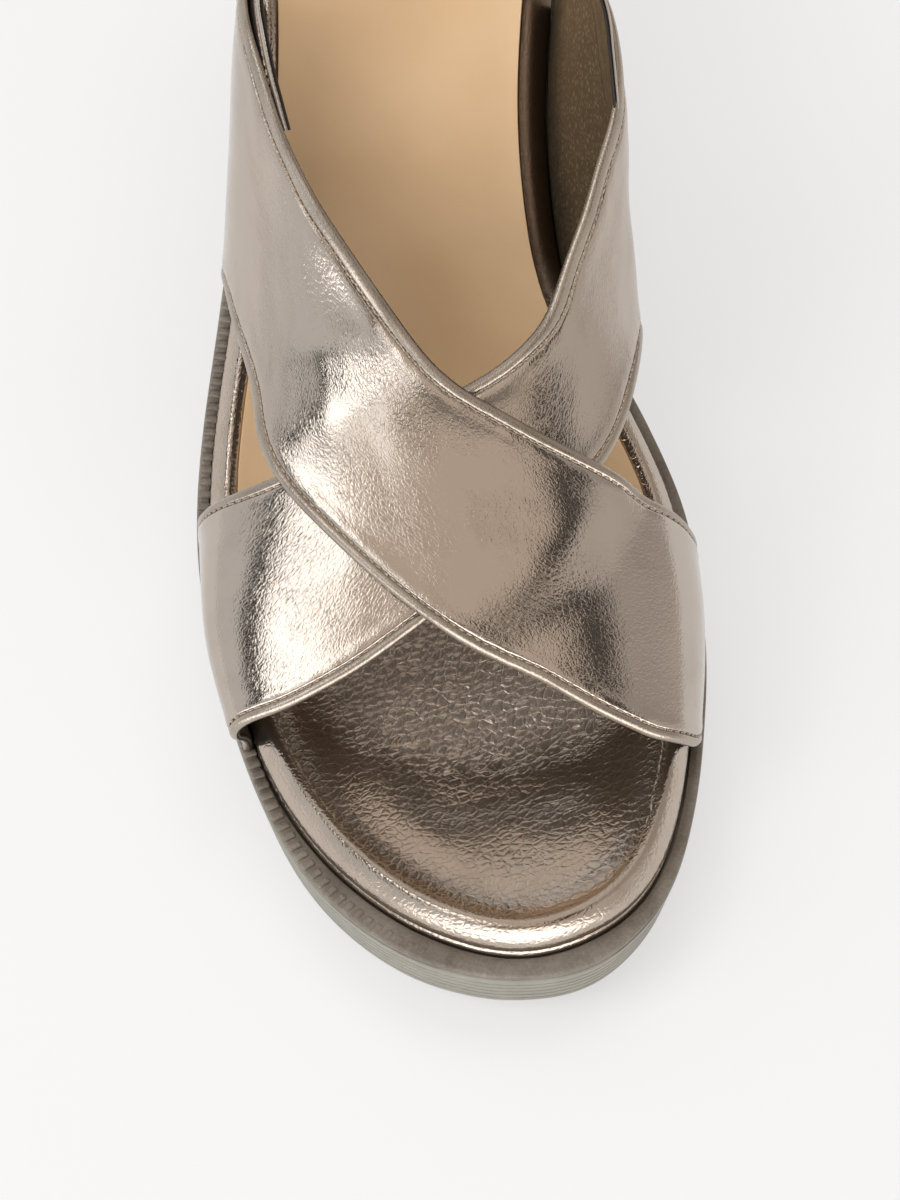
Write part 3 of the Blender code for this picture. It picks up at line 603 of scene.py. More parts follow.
def makeRubber(name, dark, light, roughness, speck, depth):
    # moulded thermoplastic rubber: satin, cloudy colour, fine mould texture
    material, tree, shader = newMaterial(name, light, roughness, 0.0, Specular_IOR_Level=0.45)
    place = addNode(tree, "ShaderNodeTexCoord").outputs["Object"]
    clouds = addNode(tree, "ShaderNodeTexNoise", {"Vector": place, "Scale": 1 / (7 * mm), "Detail": 5.0,
                                                  "Roughness": 0.65})
    grit = addNode(tree, "ShaderNodeTexNoise", {"Vector": place, "Scale": 1 / speck})
    shades = [addNode(tree, "ShaderNodeMapRange",
                      {"Value": value, "From Min": start, "From Max": 0.7, "To Max": share})
              for value, start, share in ((clouds, 0.3, 0.7), (grit, 0.4, 0.3))]
    shade = addNode(tree, "ShaderNodeMath", dict(enumerate(shades)), operation="ADD")
    tone = addNode(tree, "ShaderNodeMix", {"Factor": shade, "A": srgb(dark), "B": srgb(light)},
                   data_type="RGBA")
    rough = addNode(tree, "ShaderNodeMapRange", {"Value": grit, "From Min": 0.3, "From Max": 0.7,
                                                 "To Min": roughness - 0.06, "To Max": roughness + 0.08})
    setInputs(tree, shader, {"Base Color": tone, "Roughness": rough})
    bumped(tree, shader, [(clouds, 0.03 * mm), (grit, depth)])
    return material


foilLeather = makeFoilLeather("foilCowLeather", foil, True)
# the turned edge's darker colour is painted shade
turnedFoilShaded = makeFoilLeather("turnedFoilEdgeShaded", turnedFoilShadedSizes, True)
footbedFoil = makeFoilLeather("foilFootbedLeather", footbedFoilSizes, False)
lining = makeLining()
edgePaint = makeEdgePaint()
thread = makeThread()
nudeLeather = makeNudeLeather()
weltRubber = makeRubber("mouldedWeltRubber", dark="5d554c", light="8c8378", roughness=0.38,
                        speck=0.5 * mm, depth=0.03 * mm)
soleRubber = makeRubber("mouldedSoleRubber", dark="7f7c72", light="979489", roughness=0.48,
                        speck=0.35 * mm, depth=0.012 * mm)
# the heel is sprayed in the sole's colour, so it is smoother; the top piece is pressed, dark and dull
heelCover = makeRubber("sprayedHeelCover", dark="87837a", light="9a968c", roughness=0.40,
                       speck=0.3 * mm, depth=0.006 * mm)
topRubber = makeRubber("pressedTopPieceRubber", dark="24211f", light="38332f", roughness=0.6,
                       speck=0.4 * mm, depth=0.03 * mm)


# sole, welt and heel
print("sole")

sole = dict(stations=150, columns=14, taper=0.0020, lineDepth=0.00034, lineHalf=0.022,
            lines=(.17, .33, .49, .65, .81), treadFrom=0.004, treadEnd=0.40, margin=0.0085, recess=0.0014,
            lugFrom=0.013, lugPitch=0.0066, lugSize=0.0049, lugBevel=0.0006, lugMargin=0.0015)
stationTurns = np.linspace(0, 1, sole["stations"] + 1)


def soleLevel(up, inward):
    plan = planGrid(-inward, stationTurns, sole["columns"], ledge=1.0)
    return raised(plan, seatHeight(plan[..., 1]) - (1 - up) * soleThickness(plan[..., 1]))


def makeSole():
    recessed = planGrid(-sole["margin"], stationTurns, sole["columns"], ledge=1.0)
    y = recessed[..., 1]
    underside = seatHeight(y) - soleThickness(y)
    recess = sole["recess"] * smoothStep((y - sole["treadFrom"]) / 0.004)
    recess = recess * smoothStep((sole["treadEnd"] * last["length"] - y) / 0.006)
    grids = [raised(recessed, underside + recess), raised(recessed, underside)]
    # the side wall from the floor up: share of the height, and metres inward
    side = [(0.0, 0.0010), (0.02, 0.0003), (0.05, 0.0), (0.11, 0.0), (0.13, 0.00015)]
    half, deep = sole["lineHalf"], sole["lineDepth"]
    for line in sole["lines"]:
        side += [(line - half, 0.0), (line - half * .4, deep * .8), (line, deep),
                 (line + half * .4, deep * .8), (line + half, 0.0)]
    side += [(0.95, 0.0), (0.985, 0.00012), (1.0, 0.0005)]
    for up, inward in side:
        grids.append(soleLevel(up, inward + sole["taper"] * (1 - up)))
    return stackedPiece("soleUnit", grids, [soleRubber], sharpAngle=60)


def makeLugs():
    # rows of small blocks in the forefoot's recess, every second row half a pitch on
    paths = []
    pitch = sole["lugPitch"]
    lastRow = sole["treadEnd"] * last["length"] - sole["treadFrom"]
    for row, y in enumerate(np.arange(sole["lugFrom"], lastRow, pitch * 0.9)):
        inner, outer = (float(footbedEdge(y / last["length"], side)) - sole["margin"] - sole["lugMargin"]
                        for side in ("medial", "lateral"))
        start = -outer + (pitch / 2 if row % 2 else 0.0)
        if inner - start > pitch:
            z = float(seatHeight(y) - soleThickness(y)) + sole["recess"] / 2 + 0.00005
            path = [(start + k * pitch, y, z) for k in range(int((inner - start) / pitch) + 1)]
            paths.append((path, [(0, 0, -1)] * len(path)))
    shape = blockShape(sole["lugSize"], sole["lugSize"], sole["recess"] - 0.0001, sole["lugBevel"])
    return repeatAlong("treadLugs", paths, shape, soleRubber, pitch)


welt = dict(stations=260, height=0.0016, inner=0.0003, bevel=0.0006, notchPitch=0.0023, notchLength=0.0014,
            notchWidth=0.0023, notchHeight=0.0011, notchBevel=0.0003, notchFrom=1.10, notchTo=1.90,
            notchInset=0.0013, notchSink=0.0005, notchFade=0.12)


def makeWelt():
    turns = np.linspace(0, 2, 2 * welt["stations"] + 1)[:-1]
    low, high, bevel = last["gap"] * 0.3, last["gap"] + welt["height"], welt["bevel"]
    # the section: metres outward from the outline, share of the ledge's width, and metres up
    section = [(welt["inner"], 0.0, low), (-0.0008, 1.0, low), (-0.0002, 1.0, low + 0.0003),
               (0.0, 1.0, high - bevel), (-0.0001, 1.0, high - 0.4 * bevel),
               (-0.0004, 1.0, high - 0.1 * bevel),
               (-bevel - 0.0001, 1.0, high), (0.0009, 0.15, high), (0.0004, 0.0, high - 0.0003)]
    loops = []
    for grow, ledge, up in section:
        plan = outlineLoop(turns, grow, ledge)
        loops.append(raised(plan, seatHeight(plan[:, 1]) + up))
    return ringPiece("weltStrip", np.stack(loops, axis=1), [0] * len(section), [weltRubber], closed=True)


def makeNotches():
    turns = np.linspace(welt["notchFrom"], welt["notchTo"], 400)
    plan = outlineLoop(turns, -welt["notchInset"], 1.0)
    sunk = welt["notchSink"] * (1 - smoothStep((welt["notchTo"] - turns) / welt["notchFade"]))
    path = raised(plan, seatHeight(plan[:, 1]) + last["gap"] + welt["height"] - sunk)
    shape = blockShape(welt["notchLength"], welt["notchWidth"], welt["notchHeight"], welt["notchBevel"])
    return repeatAlong("weltNotches", [(path, [(0, 0, 1)] * len(path))], shape, weltRubber,
                       welt["notchPitch"], sway=0.04, seed=4)


# topSteps is the side of the top piece: metres over the floor, and metres inward
heel = dict(topLength=0.052, baseLength=0.041, baseWidth=0.043, backSlope=0.006, topPiece=0.0060, points=240,
            inset=0.0005, corner=0.0016, sideDown=[0, .14, .36, .68, 1], sideNarrowing=[0, .34, .68, .92, 1],
            topSteps=[(0.0, .0008), (.0002, .0002), (.0006, 0), (.0030, 0), (.0033, .0003), (.0036, 0),
                      (.0052, 0), (.0058, .0002), (.0060, .0006)])


def roundedLoop(loop, reach):  # an even walk round a closed outline, with its corners softened
    closed = np.concatenate([loop, loop[:1]])
    walk = walkAlong(closed)
    pace = walk[-1] / heel["points"]
    places = np.linspace(0, walk[-1], heel["points"] + 1)[:-1]
    even = np.stack([np.interp(places, walk, closed[:, k]) for k in range(2)], axis=1)
    spread = int(round(3 * reach / pace))
    steps = np.arange(-spread, spread + 1)
    weights = np.exp(-0.5 * (steps * pace / reach) ** 2)
    weights /= weights.sum()
    return sum(weight * np.roll(even, int(step), axis=0) for step, weight in zip(steps, weights))


def heelLoops():
    turns = np.linspace(roundEnd(1 - heel["topLength"] / last["length"]), 1, 60)
    grow = -sole["taper"] - heel["inset"]
    edges = outlineLoop(turns, grow, 1.0), outlineLoop(2 - turns, grow, 1.0)
    top = roundedLoop(np.concatenate([edges[0], edges[1][::-1][1:]]), heel["corner"])
    back, front = top[:, 1].max(), top[:, 1].min()
    middle = (top[:, 0].max() + top[:, 0].min()) / 2
    base = top.copy()
    base[:, 0] = middle + (top[:, 0] - middle) * heel["baseWidth"] / (top[:, 0].max() - top[:, 0].min())
    base[:, 1] = back - heel["backSlope"] - (back - top[:, 1]) * heel["baseLength"] / (back - front)
    return top, base


def pulledIn(loop, inward):
    way = unit(np.roll(loop, -1, axis=0) - np.roll(loop, 1, axis=0))
    out = np.stack([way[:, 1], -way[:, 0]], axis=1)
    if np.sum(out * (loop - loop.mean(axis=0))) < 0:
        out = -out
    return loop - out * inward


def makeHeel():
    top, base = heelLoops()
    ceiling = seatHeight(top[:, 1]) - soleThickness(top[:, 1]) - 0.0002
    ground = heel["topPiece"] + last["gap"]
    # share of the way down, and metres that the lower edge is rounded inwards
    steps = [(down, 0.0) for down in np.linspace(0, 0.97, 34)]
    steps += [(0.985, 0.0), (0.995, 0.0002), (1.0, 0.0007)]
    rings = []
    for down, inward in steps:
        narrowing = float(smoothThrough(heel["sideDown"], heel["sideNarrowing"], down))
        loop = pulledIn(top + (base - top) * narrowing, inward)
        rings.append(raised(loop, ceiling + (ground - ceiling) * down))
    block = ringPiece("heelBlock", np.stack(rings), [0] * heel["points"], [heelCover])
    rings = [raised(pulledIn(base, inward), np.full(len(base), z)) for z, inward in heel["topSteps"]]
    lift = ringPiece("heelTopPiece", np.stack(rings), [0] * heel["points"], [topRubber])
    return block, lift


soleUnit = makeSole()
treadLugs = makeLugs()
weltStrip = makeWelt()
weltNotches = makeNotches()
heelBlock, heelTopPiece = makeHeel()


# footbed and sock
print("footbed")

footbed = dict(stations=170, columns=56, dish=0.0004, sockFront=0.078, sock=0.0008, fade=0.011,
               hollow=0.0016, hollowAt=(.003, .046), hollowLong=0.017, hollowWide=0.026)
# the side from the lower edge over the piped edge and the rolled rim into the dish, in mm inward and up
footbedSide = dict(
    inward=[1.1, .45, .12, 0, .02, .14, .34, .50, .52, .36, .14, .02, .0, .12, .45, .95, 1.5, 2.05, 2.5, 2.9,
            3.3, 3.75, 4.2, 4.6, 4.9],
    up=[.30, .34, .62, 1.25, 1.9, 2.35, 2.62, 2.80, 2.98, 3.16, 3.42, 3.9, 4.6, 5.2, 5.95, 6.75, 7.5, 8.15,
        8.58, 8.83, 8.93, 8.9, 8.75, 8.55, 8.36])
dishSide = dict(inward=[4.9, 5.2, 5.6, 6.2, 7.0, 8.0, 9.2, 10.6, 12.0],
                up=[8.36, 8.24, 8.08, 7.86, 7.62, 7.40, 7.24, 7.14, 7.10])
# the sock's edge, in mm inward from the outline and up from the dish's second step
sockEdge = dict(inward=[5.12, 5.12, 5.22], up=[.35, .62, .82])
# listed soft troughs and ridges of the padded toe area: place, reach along and across, turn, depth
footbedFolds = [
    dict(x=.004, y=.031, long=.026, wide=.0035, turn=4, depth=-.00030),
    dict(x=-.012, y=.040, long=.016, wide=.0030, turn=-8, depth=.00018),
    dict(x=.018, y=.038, long=.014, wide=.0028, turn=12, depth=.00020),
    dict(x=.006, y=.052, long=.020, wide=.0030, turn=-5, depth=.00015),
    dict(x=-.010, y=.060, long=.013, wide=.0025, turn=14, depth=-.00016),
    dict(x=.016, y=.020, long=.012, wide=.0030, turn=-14, depth=.00016),
]


def foldRelief(folds, x, y):
    total = np.zeros(np.broadcast(x, y).shape)
    for fold in folds:
        turn = math.radians(fold["turn"])
        along = (x - fold["x"]) * math.cos(turn) + (y - fold["y"]) * math.sin(turn)
        across = (y - fold["y"]) * math.cos(turn) - (x - fold["x"]) * math.sin(turn)
        total += fold["depth"] * np.exp(-(along / fold["long"]) ** 2 - (across / fold["wide"]) ** 2)
    return total


def dishDrop(plan):
    x, y = plan[..., 0], plan[..., 1]
    border = outlineLoop(np.linspace(0, 2, 241)[:-1], -dishSide["inward"][-1] * mm)
    away = np.sqrt(np.min((x[..., None] - border[:, 0]) ** 2 + (y[..., None] - border[:, 1]) ** 2, axis=-1))
    inside = smoothStep(away / footbed["fade"])
    middle = footbed["hollowAt"]
    hollow = footbed["hollow"] * np.exp(-((y - middle[1]) / footbed["hollowLong"]) ** 2
                                        - ((x - middle[0]) / footbed["hollowWide"]) ** 2)
    return inside * (footbed["dish"] + hollow - foldRelief(footbedFolds, x, y))


def stepGrids(steps, turns, lift=0.0):  # a grid at each step of a side, which is given in mm inward and up
    grids = []
    for inward, up in zip(steps["inward"], steps["up"]):
        plan = planGrid(-inward * mm, turns, footbed["columns"])
        grids.append(raised(plan, seatHeight(plan[..., 1]) + up * mm + lift))
    return grids


def dishGrids(turns, lift, start):
    grids = stepGrids({name: steps[start:] for name, steps in dishSide.items()}, turns, lift)
    grids[-1][..., 2] -= dishDrop(grids[-1][..., :2])
    return grids


def makeFootbed():
    turns = np.linspace(0, 1, footbed["stations"] + 1)
    grids = stepGrids(footbedSide, turns) + dishGrids(turns, 0.0, 1)
    return stackedPiece("footbedPad", grids, [footbedFoil])


def makeSock():
    first = roundEnd(footbed["sockFront"] / last["length"])
    turns = first + (1 - first) * np.linspace(0, 1, 130)
    lower = dishGrids(turns, 0.0001, 1)[::-1]
    upper = dishGrids(turns, footbed["sock"] + 0.0001, 2)
    return stackedPiece("sockLining", lower + stepGrids(sockEdge, turns, dishSide["up"][1] * mm) + upper,
                        [nudeLeather])


footbedPad = makeFootbed()
sockLining = makeSock()


# the two crossing straps
print("straps")

strap = dict(rows=210, middle=26, innerMiddle=16, thickness=0.0017, radius=0.00085, drop=0.0011, ramp=0.0190,
             lapGap=0.00015, seam=0.0018, seamDepth=0.00034, seamHalf=0.00022,
             band=0.00014, bandAt=0.0010, bandHalf=0.0006, puff=0.00012, puffAt=0.0012, puffHalf=0.0009,
             pucker=0.00003, puckerAt=0.0007, calmFrom=0.0022, calmOver=0.003, paintFront=3, paintRear=4,
             stitch=0.00128, stitchWidth=0.00042, stitchPitch=0.00165, stitchLift=0.00022, stitchEnd=4)
overStrap = dict(
    turn=[0, .07, .16, .27, .36, .46, .52, .58, .64, .70, .76, .82, .90, 1],
    front=[.184, .166, .152, .147, .156, .180, .208, .251, .302, .352, .415, .470, .530, .572],
    rear=[.366, .338, .328, .328, .343, .369, .396, .444, .492, .538, .616, .670, .715, .754])
underStrap = dict(
    turn=[0, .09, .15, .20, .26, .33, .41, .48, .56, .65, .74, .85, .93, 1],
    front=[.513, .490, .470, .447, .409, .358, .318, .287, .238, .202, .188, .187, .198, .206],
    rear=[.737, .706, .674, .625, .560, .496, .438, .411, .385, .368, .360, .368, .386, .404])
# listed soft troughs and ridges: x is metres along the strap from its inner end, y metres from its front
overFolds = [
    dict(x=.088, y=.024, long=.016, wide=.0040, turn=62, depth=-.00010),
    dict(x=.097, y=.016, long=.012, wide=.0030, turn=55, depth=.00008),
    dict(x=.112, y=.030, long=.014, wide=.0040, turn=40, depth=.00009),
    dict(x=.124, y=.018, long=.012, wide=.0035, turn=70, depth=-.00007),
    dict(x=.062, y=.030, long=.020, wide=.0060, turn=20, depth=-.00007),
]
underFolds = [
    dict(x=.106, y=.020, long=.015, wide=.0036, turn=76, depth=-.00014),
    dict(x=.098, y=.012, long=.011, wide=.0028, turn=50, depth=.00011),
    dict(x=.119, y=.022, long=.013, wide=.0032, turn=85, depth=.00011),
    dict(x=.040, y=.022, long=.013, wide=.0035, turn=95, depth=-.00011),
    dict(x=.046, y=.028, long=.012, wide=.0030, turn=70, depth=.00010),
]


def bandEdge(table, name, turn):
    reach = np.minimum(soft["band"], np.minimum(turn, 1 - turn))
    return blurred(lambda t: smoothThrough(table["turn"], table[name], t), turn, reach)


def lapLift(along, turn):  # the over strap climbs on the under strap before it reaches it
    inside = np.minimum(along - bandEdge(underStrap, "front", turn),
                        bandEdge(underStrap, "rear", turn) - along)
    climb = strap["thickness"] + strap["band"] + strap["lapGap"]
    share = np.clip((inside * last["length"] + strap["ramp"]) / strap["ramp"], 0, 1)
    return last["gap"] + climb * share ** 3 * (10 - 15 * share + 6 * share ** 2)


# how far the columns along the strap's edges are from the edge, in mm, on the outer and the inner face
strapColumns = dict(outer=[.0, .07, .25, .5, .8, 1.05, 1.3, 1.48, 1.6, 1.7, 1.8, 1.9, 2.0, 2.12, 2.3, 2.55,
                           2.9, 3.3, 3.9, 4.7, 5.8],
                    inner=[.07, .25, .5, .85, 1.1, 1.7, 3.0])


def makeStrap(name, table, folds, lift):
    turn = np.linspace(0, 1, strap["rows"] + 1)
    front, rear = bandEdge(table, "front", turn), bandEdge(table, "rear", turn)
    slants = []
    for edge in (front, rear):  # a distance square to the edge, as a distance along the foot
        way = unit(np.gradient(foot(edge, turn), axis=0))
        ahead = unit(foot(edge + nudge, turn) - foot(edge - nudge, turn))
        slants.append(np.clip(np.linalg.norm(np.cross(way, ahead), axis=1), 0.4, 1))
    width = (rear - front) * last["length"]
    near, nearInner = (np.array(strapColumns[face]) * mm for face in ("outer", "inner"))

    def columnsOf(steps, middle):
        left = steps[None, :] / slants[0][:, None]
        right = width[:, None] - steps[None, ::-1] / slants[1][:, None]
        share = np.linspace(0, 1, middle + 2)[None, 1:-1]
        places = np.concatenate([left, left[:, -1:] * (1 - share) + right[:, :1] * share, right], axis=1)
        fromRear = (width[:, None] - places) * slants[1][:, None]
        return places, np.minimum(places * slants[0][:, None], fromRear)

    outerPlace, outerEdge = columnsOf(near, strap["middle"])
    innerPlace, innerEdge = columnsOf(nearInner, strap["innerMiddle"])
    walk = walkAlong(foot((front + rear) / 2, turn))

    def roll(edge):
        inside = np.clip(strap["radius"] - edge, 0, strap["radius"])
        return strap["radius"] - np.sqrt(strap["radius"] ** 2 - inside ** 2)

    def surface(place, height):
        along = front[:, None] + place / last["length"]
        turns = np.repeat(turn[:, None], place.shape[1], axis=1)
        point, normal = footFrame(along, turns)
        return point + (lift(along, turns) + height)[..., None] * normal, normal

    def ridge(at, half):
        return np.exp(-((outerEdge - at) / half) ** 2)

    seam = strap["seam"]
    relief = strap["band"] * ridge(strap["bandAt"], strap["bandHalf"])
    relief -= strap["seamDepth"] * ridge(seam, strap["seamHalf"])
    relief += strap["puff"] * ridge(seam + strap["puffAt"], strap["puffHalf"])
    pucker = strap["pucker"] * np.sin(2 * math.pi * walk / strap["stitchPitch"] / 3)[:, None]
    relief += pucker * ridge(seam + strap["puckerAt"], strap["puffHalf"])
    calm = smoothStep((outerEdge - strap["calmFrom"]) / strap["calmOver"])
    relief += calm * foldRelief(folds, walk[:, None], outerPlace)
    outer = surface(outerPlace, strap["thickness"] - roll(outerEdge) + relief)[0]
    inner = surface(innerPlace, roll(innerEdge))[0]
    rings = np.concatenate([outer, inner[:, ::-1]], axis=1)
    places = np.concatenate([outerPlace, innerPlace[:, ::-1]], axis=1)
    plan = np.stack([np.repeat(walk[:, None], places.shape[1], axis=1), places], axis=-1)
    for end in (0, -1):
        rings[end, :, 2] = seatHeight(rings[end, :, 1]) + strapBase() - strap["drop"]
    # slots of the columns: 0 foil, 1 lining, 2 edge paint, 3 the turned edge outside the stitches, darkened
    # with painted shade
    outerCount, innerCount = outer.shape[1], inner.shape[1]
    turned = int(np.searchsorted(near, seam - 1e-6))
    slots = [3 if j < turned or j >= outerCount - 1 - turned else 0 for j in range(outerCount)]
    slots += [2 if j < strap["paintFront"] or j >= innerCount - strap["paintRear"] else 1
              for j in range(innerCount)]
    piece = ringPiece(name, rings, slots, [foilLeather, lining, edgePaint, turnedFoilShaded], plan=plan)
    bed = strap["thickness"] - strap["seamDepth"] + strap["stitchLift"]
    keep = slice(strap["stitchEnd"], -strap["stitchEnd"])
    paths = []
    for place in (seam / slants[0], width - seam / slants[1]):
        line, facing = surface(place[:, None], np.full((len(turn), 1), bed))
        paths.append((line[keep, 0], facing[keep, 0]))
    return piece, paths


strapOver, overSeams = makeStrap("strapOver", overStrap, overFolds, lapLift)
strapUnder, underSeams = makeStrap("strapUnder", underStrap, underFolds,
                                   lambda along, turn: np.full_like(along, last["gap"]))
strapStitches = repeatAlong("strapStitches", overSeams + underSeams,
                            threadShape(strap["stitch"], strap["stitchWidth"], strap["stitchWidth"]),
                            thread, strap["stitchPitch"], sway=0.10, seed=7)


# the sling strap
print("sling strap")

sling = dict(sections=300, width=0.0115, turnCentre=0.870, calm=10,
             stitchIn=0.0016, stitchPitch=0.0017, stitchWidth=0.000378, stitchLift=0.00102, stitchEnd=3,
             joinRun=0.013, joinDepth=-0.0004, tuck=0.0110, thinned=0.45, near=0.008,
             joinAlong=(0.54, 0.80), underTurn=(0.06, 0.36), overTurn=(0.62, 0.94))
slingRoute = dict(
    along=[.583, .620, .665, .765, .870, .935, .962, .935, .870, .765, .665, .620, .583],
    across=[.640, .632, .612, .605, .490, .280, .020, -.250, -.450, -.550, -.605, -.655, -.655],
    height=[.600, .620, .630, .660, .740, .810, .835, .810, .740, .660, .620, .632, .652],
    lean=[15, 20, 25, 22, 14, 9, 8, 9, 14, 22, 29, 30, 28])
# the section in mm across and outward: 0 foil leather, 1 edge paint, 2 lining
slingSection = dict(
    across=[-5.72, -5.62, -5.30, -4.85, -4.50, -4.28, -4.15, -4.02, -3.80, -3.3, -1.6, 0, 1.6, 3.3, 3.80,
            4.02, 4.15, 4.28, 4.50, 4.85, 5.30, 5.62, 5.72, 5.60, 5.40, 5.55, 5.75, 5.78, 5.72, 5.50, 4.8,
            2.4, 0, -2.4, -4.8, -5.50, -5.72, -5.78, -5.75, -5.55, -5.40, -5.60],
    outward=[.45, .80, 1.05, 1.12, 1.10, 1.00, .86, .98, 1.06, 1.10, 1.12, 1.13, 1.12, 1.10, 1.06, .98, .86,
             1.00, 1.10, 1.12, 1.05, .80, .45, .12, .00, -.10, -.25, -.55, -.85, -1.02, -1.05, -1.06, -1.06,
             -1.06, -1.05, -1.02, -.85, -.55, -.25, -.10, .00, .12],
    slot=[0] * 24 + [1] * 6 + [2] * 4 + [1] * 7 + [0])


def slingLine():
    y = np.array(slingRoute["along"]) * last["length"]
    x = np.array(slingRoute["across"]) * last["ballWidth"] / 2
    z = sharpSeat(y) + np.array(slingRoute["height"]) * last["instepHeight"]
    points = np.stack([x, y, z], axis=1)
    towards = np.minimum(sling["turnCentre"] * last["length"] - y, 0.0)
    inward = unit(np.stack([-x, towards, np.zeros(len(x))], axis=1))
    lean = np.radians(slingRoute["lean"])[:, None]
    uprights = inward * np.sin(lean) + np.array([0, 0, 1]) * np.cos(lean)
    place = walkAlong(points)
    place /= place[-1]
    share = np.linspace(0, 1, sling["sections"] + 1)
    reach = np.minimum(soft["band"], np.minimum(share, 1 - share))

    def curve(values):
        return np.stack([blurred(lambda s, k=k: smoothThrough(place, values[:, k], s), share, reach)
                         for k in range(3)], axis=1)

    middle, upright = curve(points), curve(uprights)
    forward = unit(np.gradient(middle, axis=0))
    upright = unit(upright - forward * np.sum(upright * forward, axis=1)[:, None])
    return middle, upright, np.cross(forward, upright)


def calmed(line, times):  # each point moves towards its two neighbours, and the ends stay
    for _ in range(times):
        line[1:-1] = (line[:-2] + 2 * line[1:-1] + line[2:]) / 4
    return line


def sewnIn(middle, upright, outward):
    # the ends lie flat against the crossing straps' inner faces, thinned, and stop just inside their edges
    thin = np.ones(len(middle))
    keep = np.ones(len(middle), dtype=bool)
    half = len(middle) // 2
    for table, turns, rows in ((underStrap, sling["underTurn"], range(half)),
                               (overStrap, sling["overTurn"], range(half, len(middle)))):
        along, turn = np.meshgrid(np.linspace(*sling["joinAlong"], 90), np.linspace(*turns, 60),
                                  indexing="ij")
        faces, normals = footFrame(along, turn)
        inside = (bandEdge(table, "rear", turn) - along) * last["length"]
        for i in rows:
            gaps = np.linalg.norm(faces - middle[i], axis=-1)
            at = np.unravel_index(np.argmin(gaps), gaps.shape)
            close = gaps[at] < sling["near"]
            share = float(smoothStep((inside[at] + sling["joinRun"]) / sling["joinRun"])) if close else 0.0
            normal = normals[at]
            distance = float(np.dot(middle[i] - faces[at], normal))
            middle[i] = middle[i] + share * (sling["joinDepth"] - distance) * normal
            upright[i] = upright[i] - share * np.dot(upright[i], normal) * normal
            outward[i] = outward[i] * (1 - share) + normal * share
            thin[i] = 1 - sling["thinned"] * share
            keep[i] = inside[at] < sling["tuck"] or not close
    middle, upright, outward = (calmed(line[keep], sling["calm"]) for line in (middle, upright, outward))
    upright = unit(upright)
    outward = unit(outward - upright * np.sum(outward * upright, axis=1)[:, None])
    return middle, upright, outward, thin[keep]


def makeSling():
    middle, upright, outward, thin = sewnIn(*slingLine())
    across, out = np.array(slingSection["across"]) * mm, np.array(slingSection["outward"]) * mm
    rings = middle[:, None] + upright[:, None] * across[None, :, None]
    rings = rings + outward[:, None] * (out[None, :] * thin[:, None])[..., None]
    plan = np.stack(np.broadcast_arrays(walkAlong(middle)[:, None], across[None, :]), axis=-1)
    piece = ringPiece("slingStrap", rings, slingSection["slot"], [foilLeather, edgePaint, lining], plan=plan)
    bed = middle + outward * (sling["stitchLift"] * thin)[:, None]
    reach = upright * (sling["width"] / 2 - sling["stitchIn"])
    keep = slice(sling["stitchEnd"], -sling["stitchEnd"])
    return piece, [((bed + side * reach)[keep], outward[keep]) for side in (-1, 1)]


slingStrap, slingSeams = makeSling()
slingStitches = repeatAlong("slingStitches", slingSeams,
                            threadShape(strap["stitch"], sling["stitchWidth"], sling["stitchWidth"]),
                            thread, sling["stitchPitch"], sway=0.10, seed=9)


# what each piece stands for
print("joining the pieces to the solids")
standsFor = [
    (soleUnit, "outsole", "sole_rubber"), (treadLugs, "outsole", "sole_rubber"),
    (weltStrip, "welt", "welt_strip"), (weltNotches, "welt", "welt_strip"),
    (heelBlock, "heel_block", "heel_cover"), (heelTopPiece, "heel_top_piece", "top_piece_rubber"),
    (footbedPad, "footbed", "footbed_leather"), (sockLining, "sock_lining", "sock_leather"),
    (strapOver, "cross_straps", "strap_leather"), (strapUnder, "cross_straps", "strap_leather"),
    (strapStitches, "cross_straps", "strap_leather"),
    (slingStrap, "sling_strap", "sling_leather"), (slingStitches, "sling_strap", "sling_leather"),
]
for piece, node, slot in standsFor:
    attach(piece, "root")
    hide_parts(node)


# camera, floor and light
print("camera and light")

camera = dict(azimuth=-4.5, elevation=58.0, distance=1.1, target=(0, 0.110, 0.03), focal=6050.0,
              centre=(446, 388), frame=(900, 1200), lens=181.5)


def cameraAxes():
    azimuth, elevation = math.radians(camera["azimuth"]), math.radians(camera["elevation"])
    back = Vector((math.sin(azimuth) * math.cos(elevation), -math.cos(azimuth) * math.cos(elevation),
                   math.sin(elevation)))
    right = Vector((math.cos(azimuth), math.sin(azimuth), 0))
    return back, right, back.cross(right)


def makeCamera():
    back, right, up = cameraAxes()
    eye = Vector(camera["target"]) + back * camera["distance"] + Vector(shoePlace)
    wide, tall = camera["frame"]
    aside = (wide / 2 - camera["centre"][0]) / camera["focal"]
    down = (tall / 2 - camera["centre"][1]) / camera["focal"]
    look = -back + right * aside - up * down
    view = bpy.data.objects.new("camera", bpy.data.cameras.new("camera"))
    view.data.lens = camera["lens"]
    view.data.sensor_width = 36
    view.data.clip_start, view.data.clip_end = 0.05, 20
    view.location = eye
    view.rotation_mode = "QUATERNION"
    view.rotation_quaternion = look.to_track_quat("-Z", "Y")
    bpy.context.scene.collection.objects.link(view)
    bpy.context.scene.camera = view


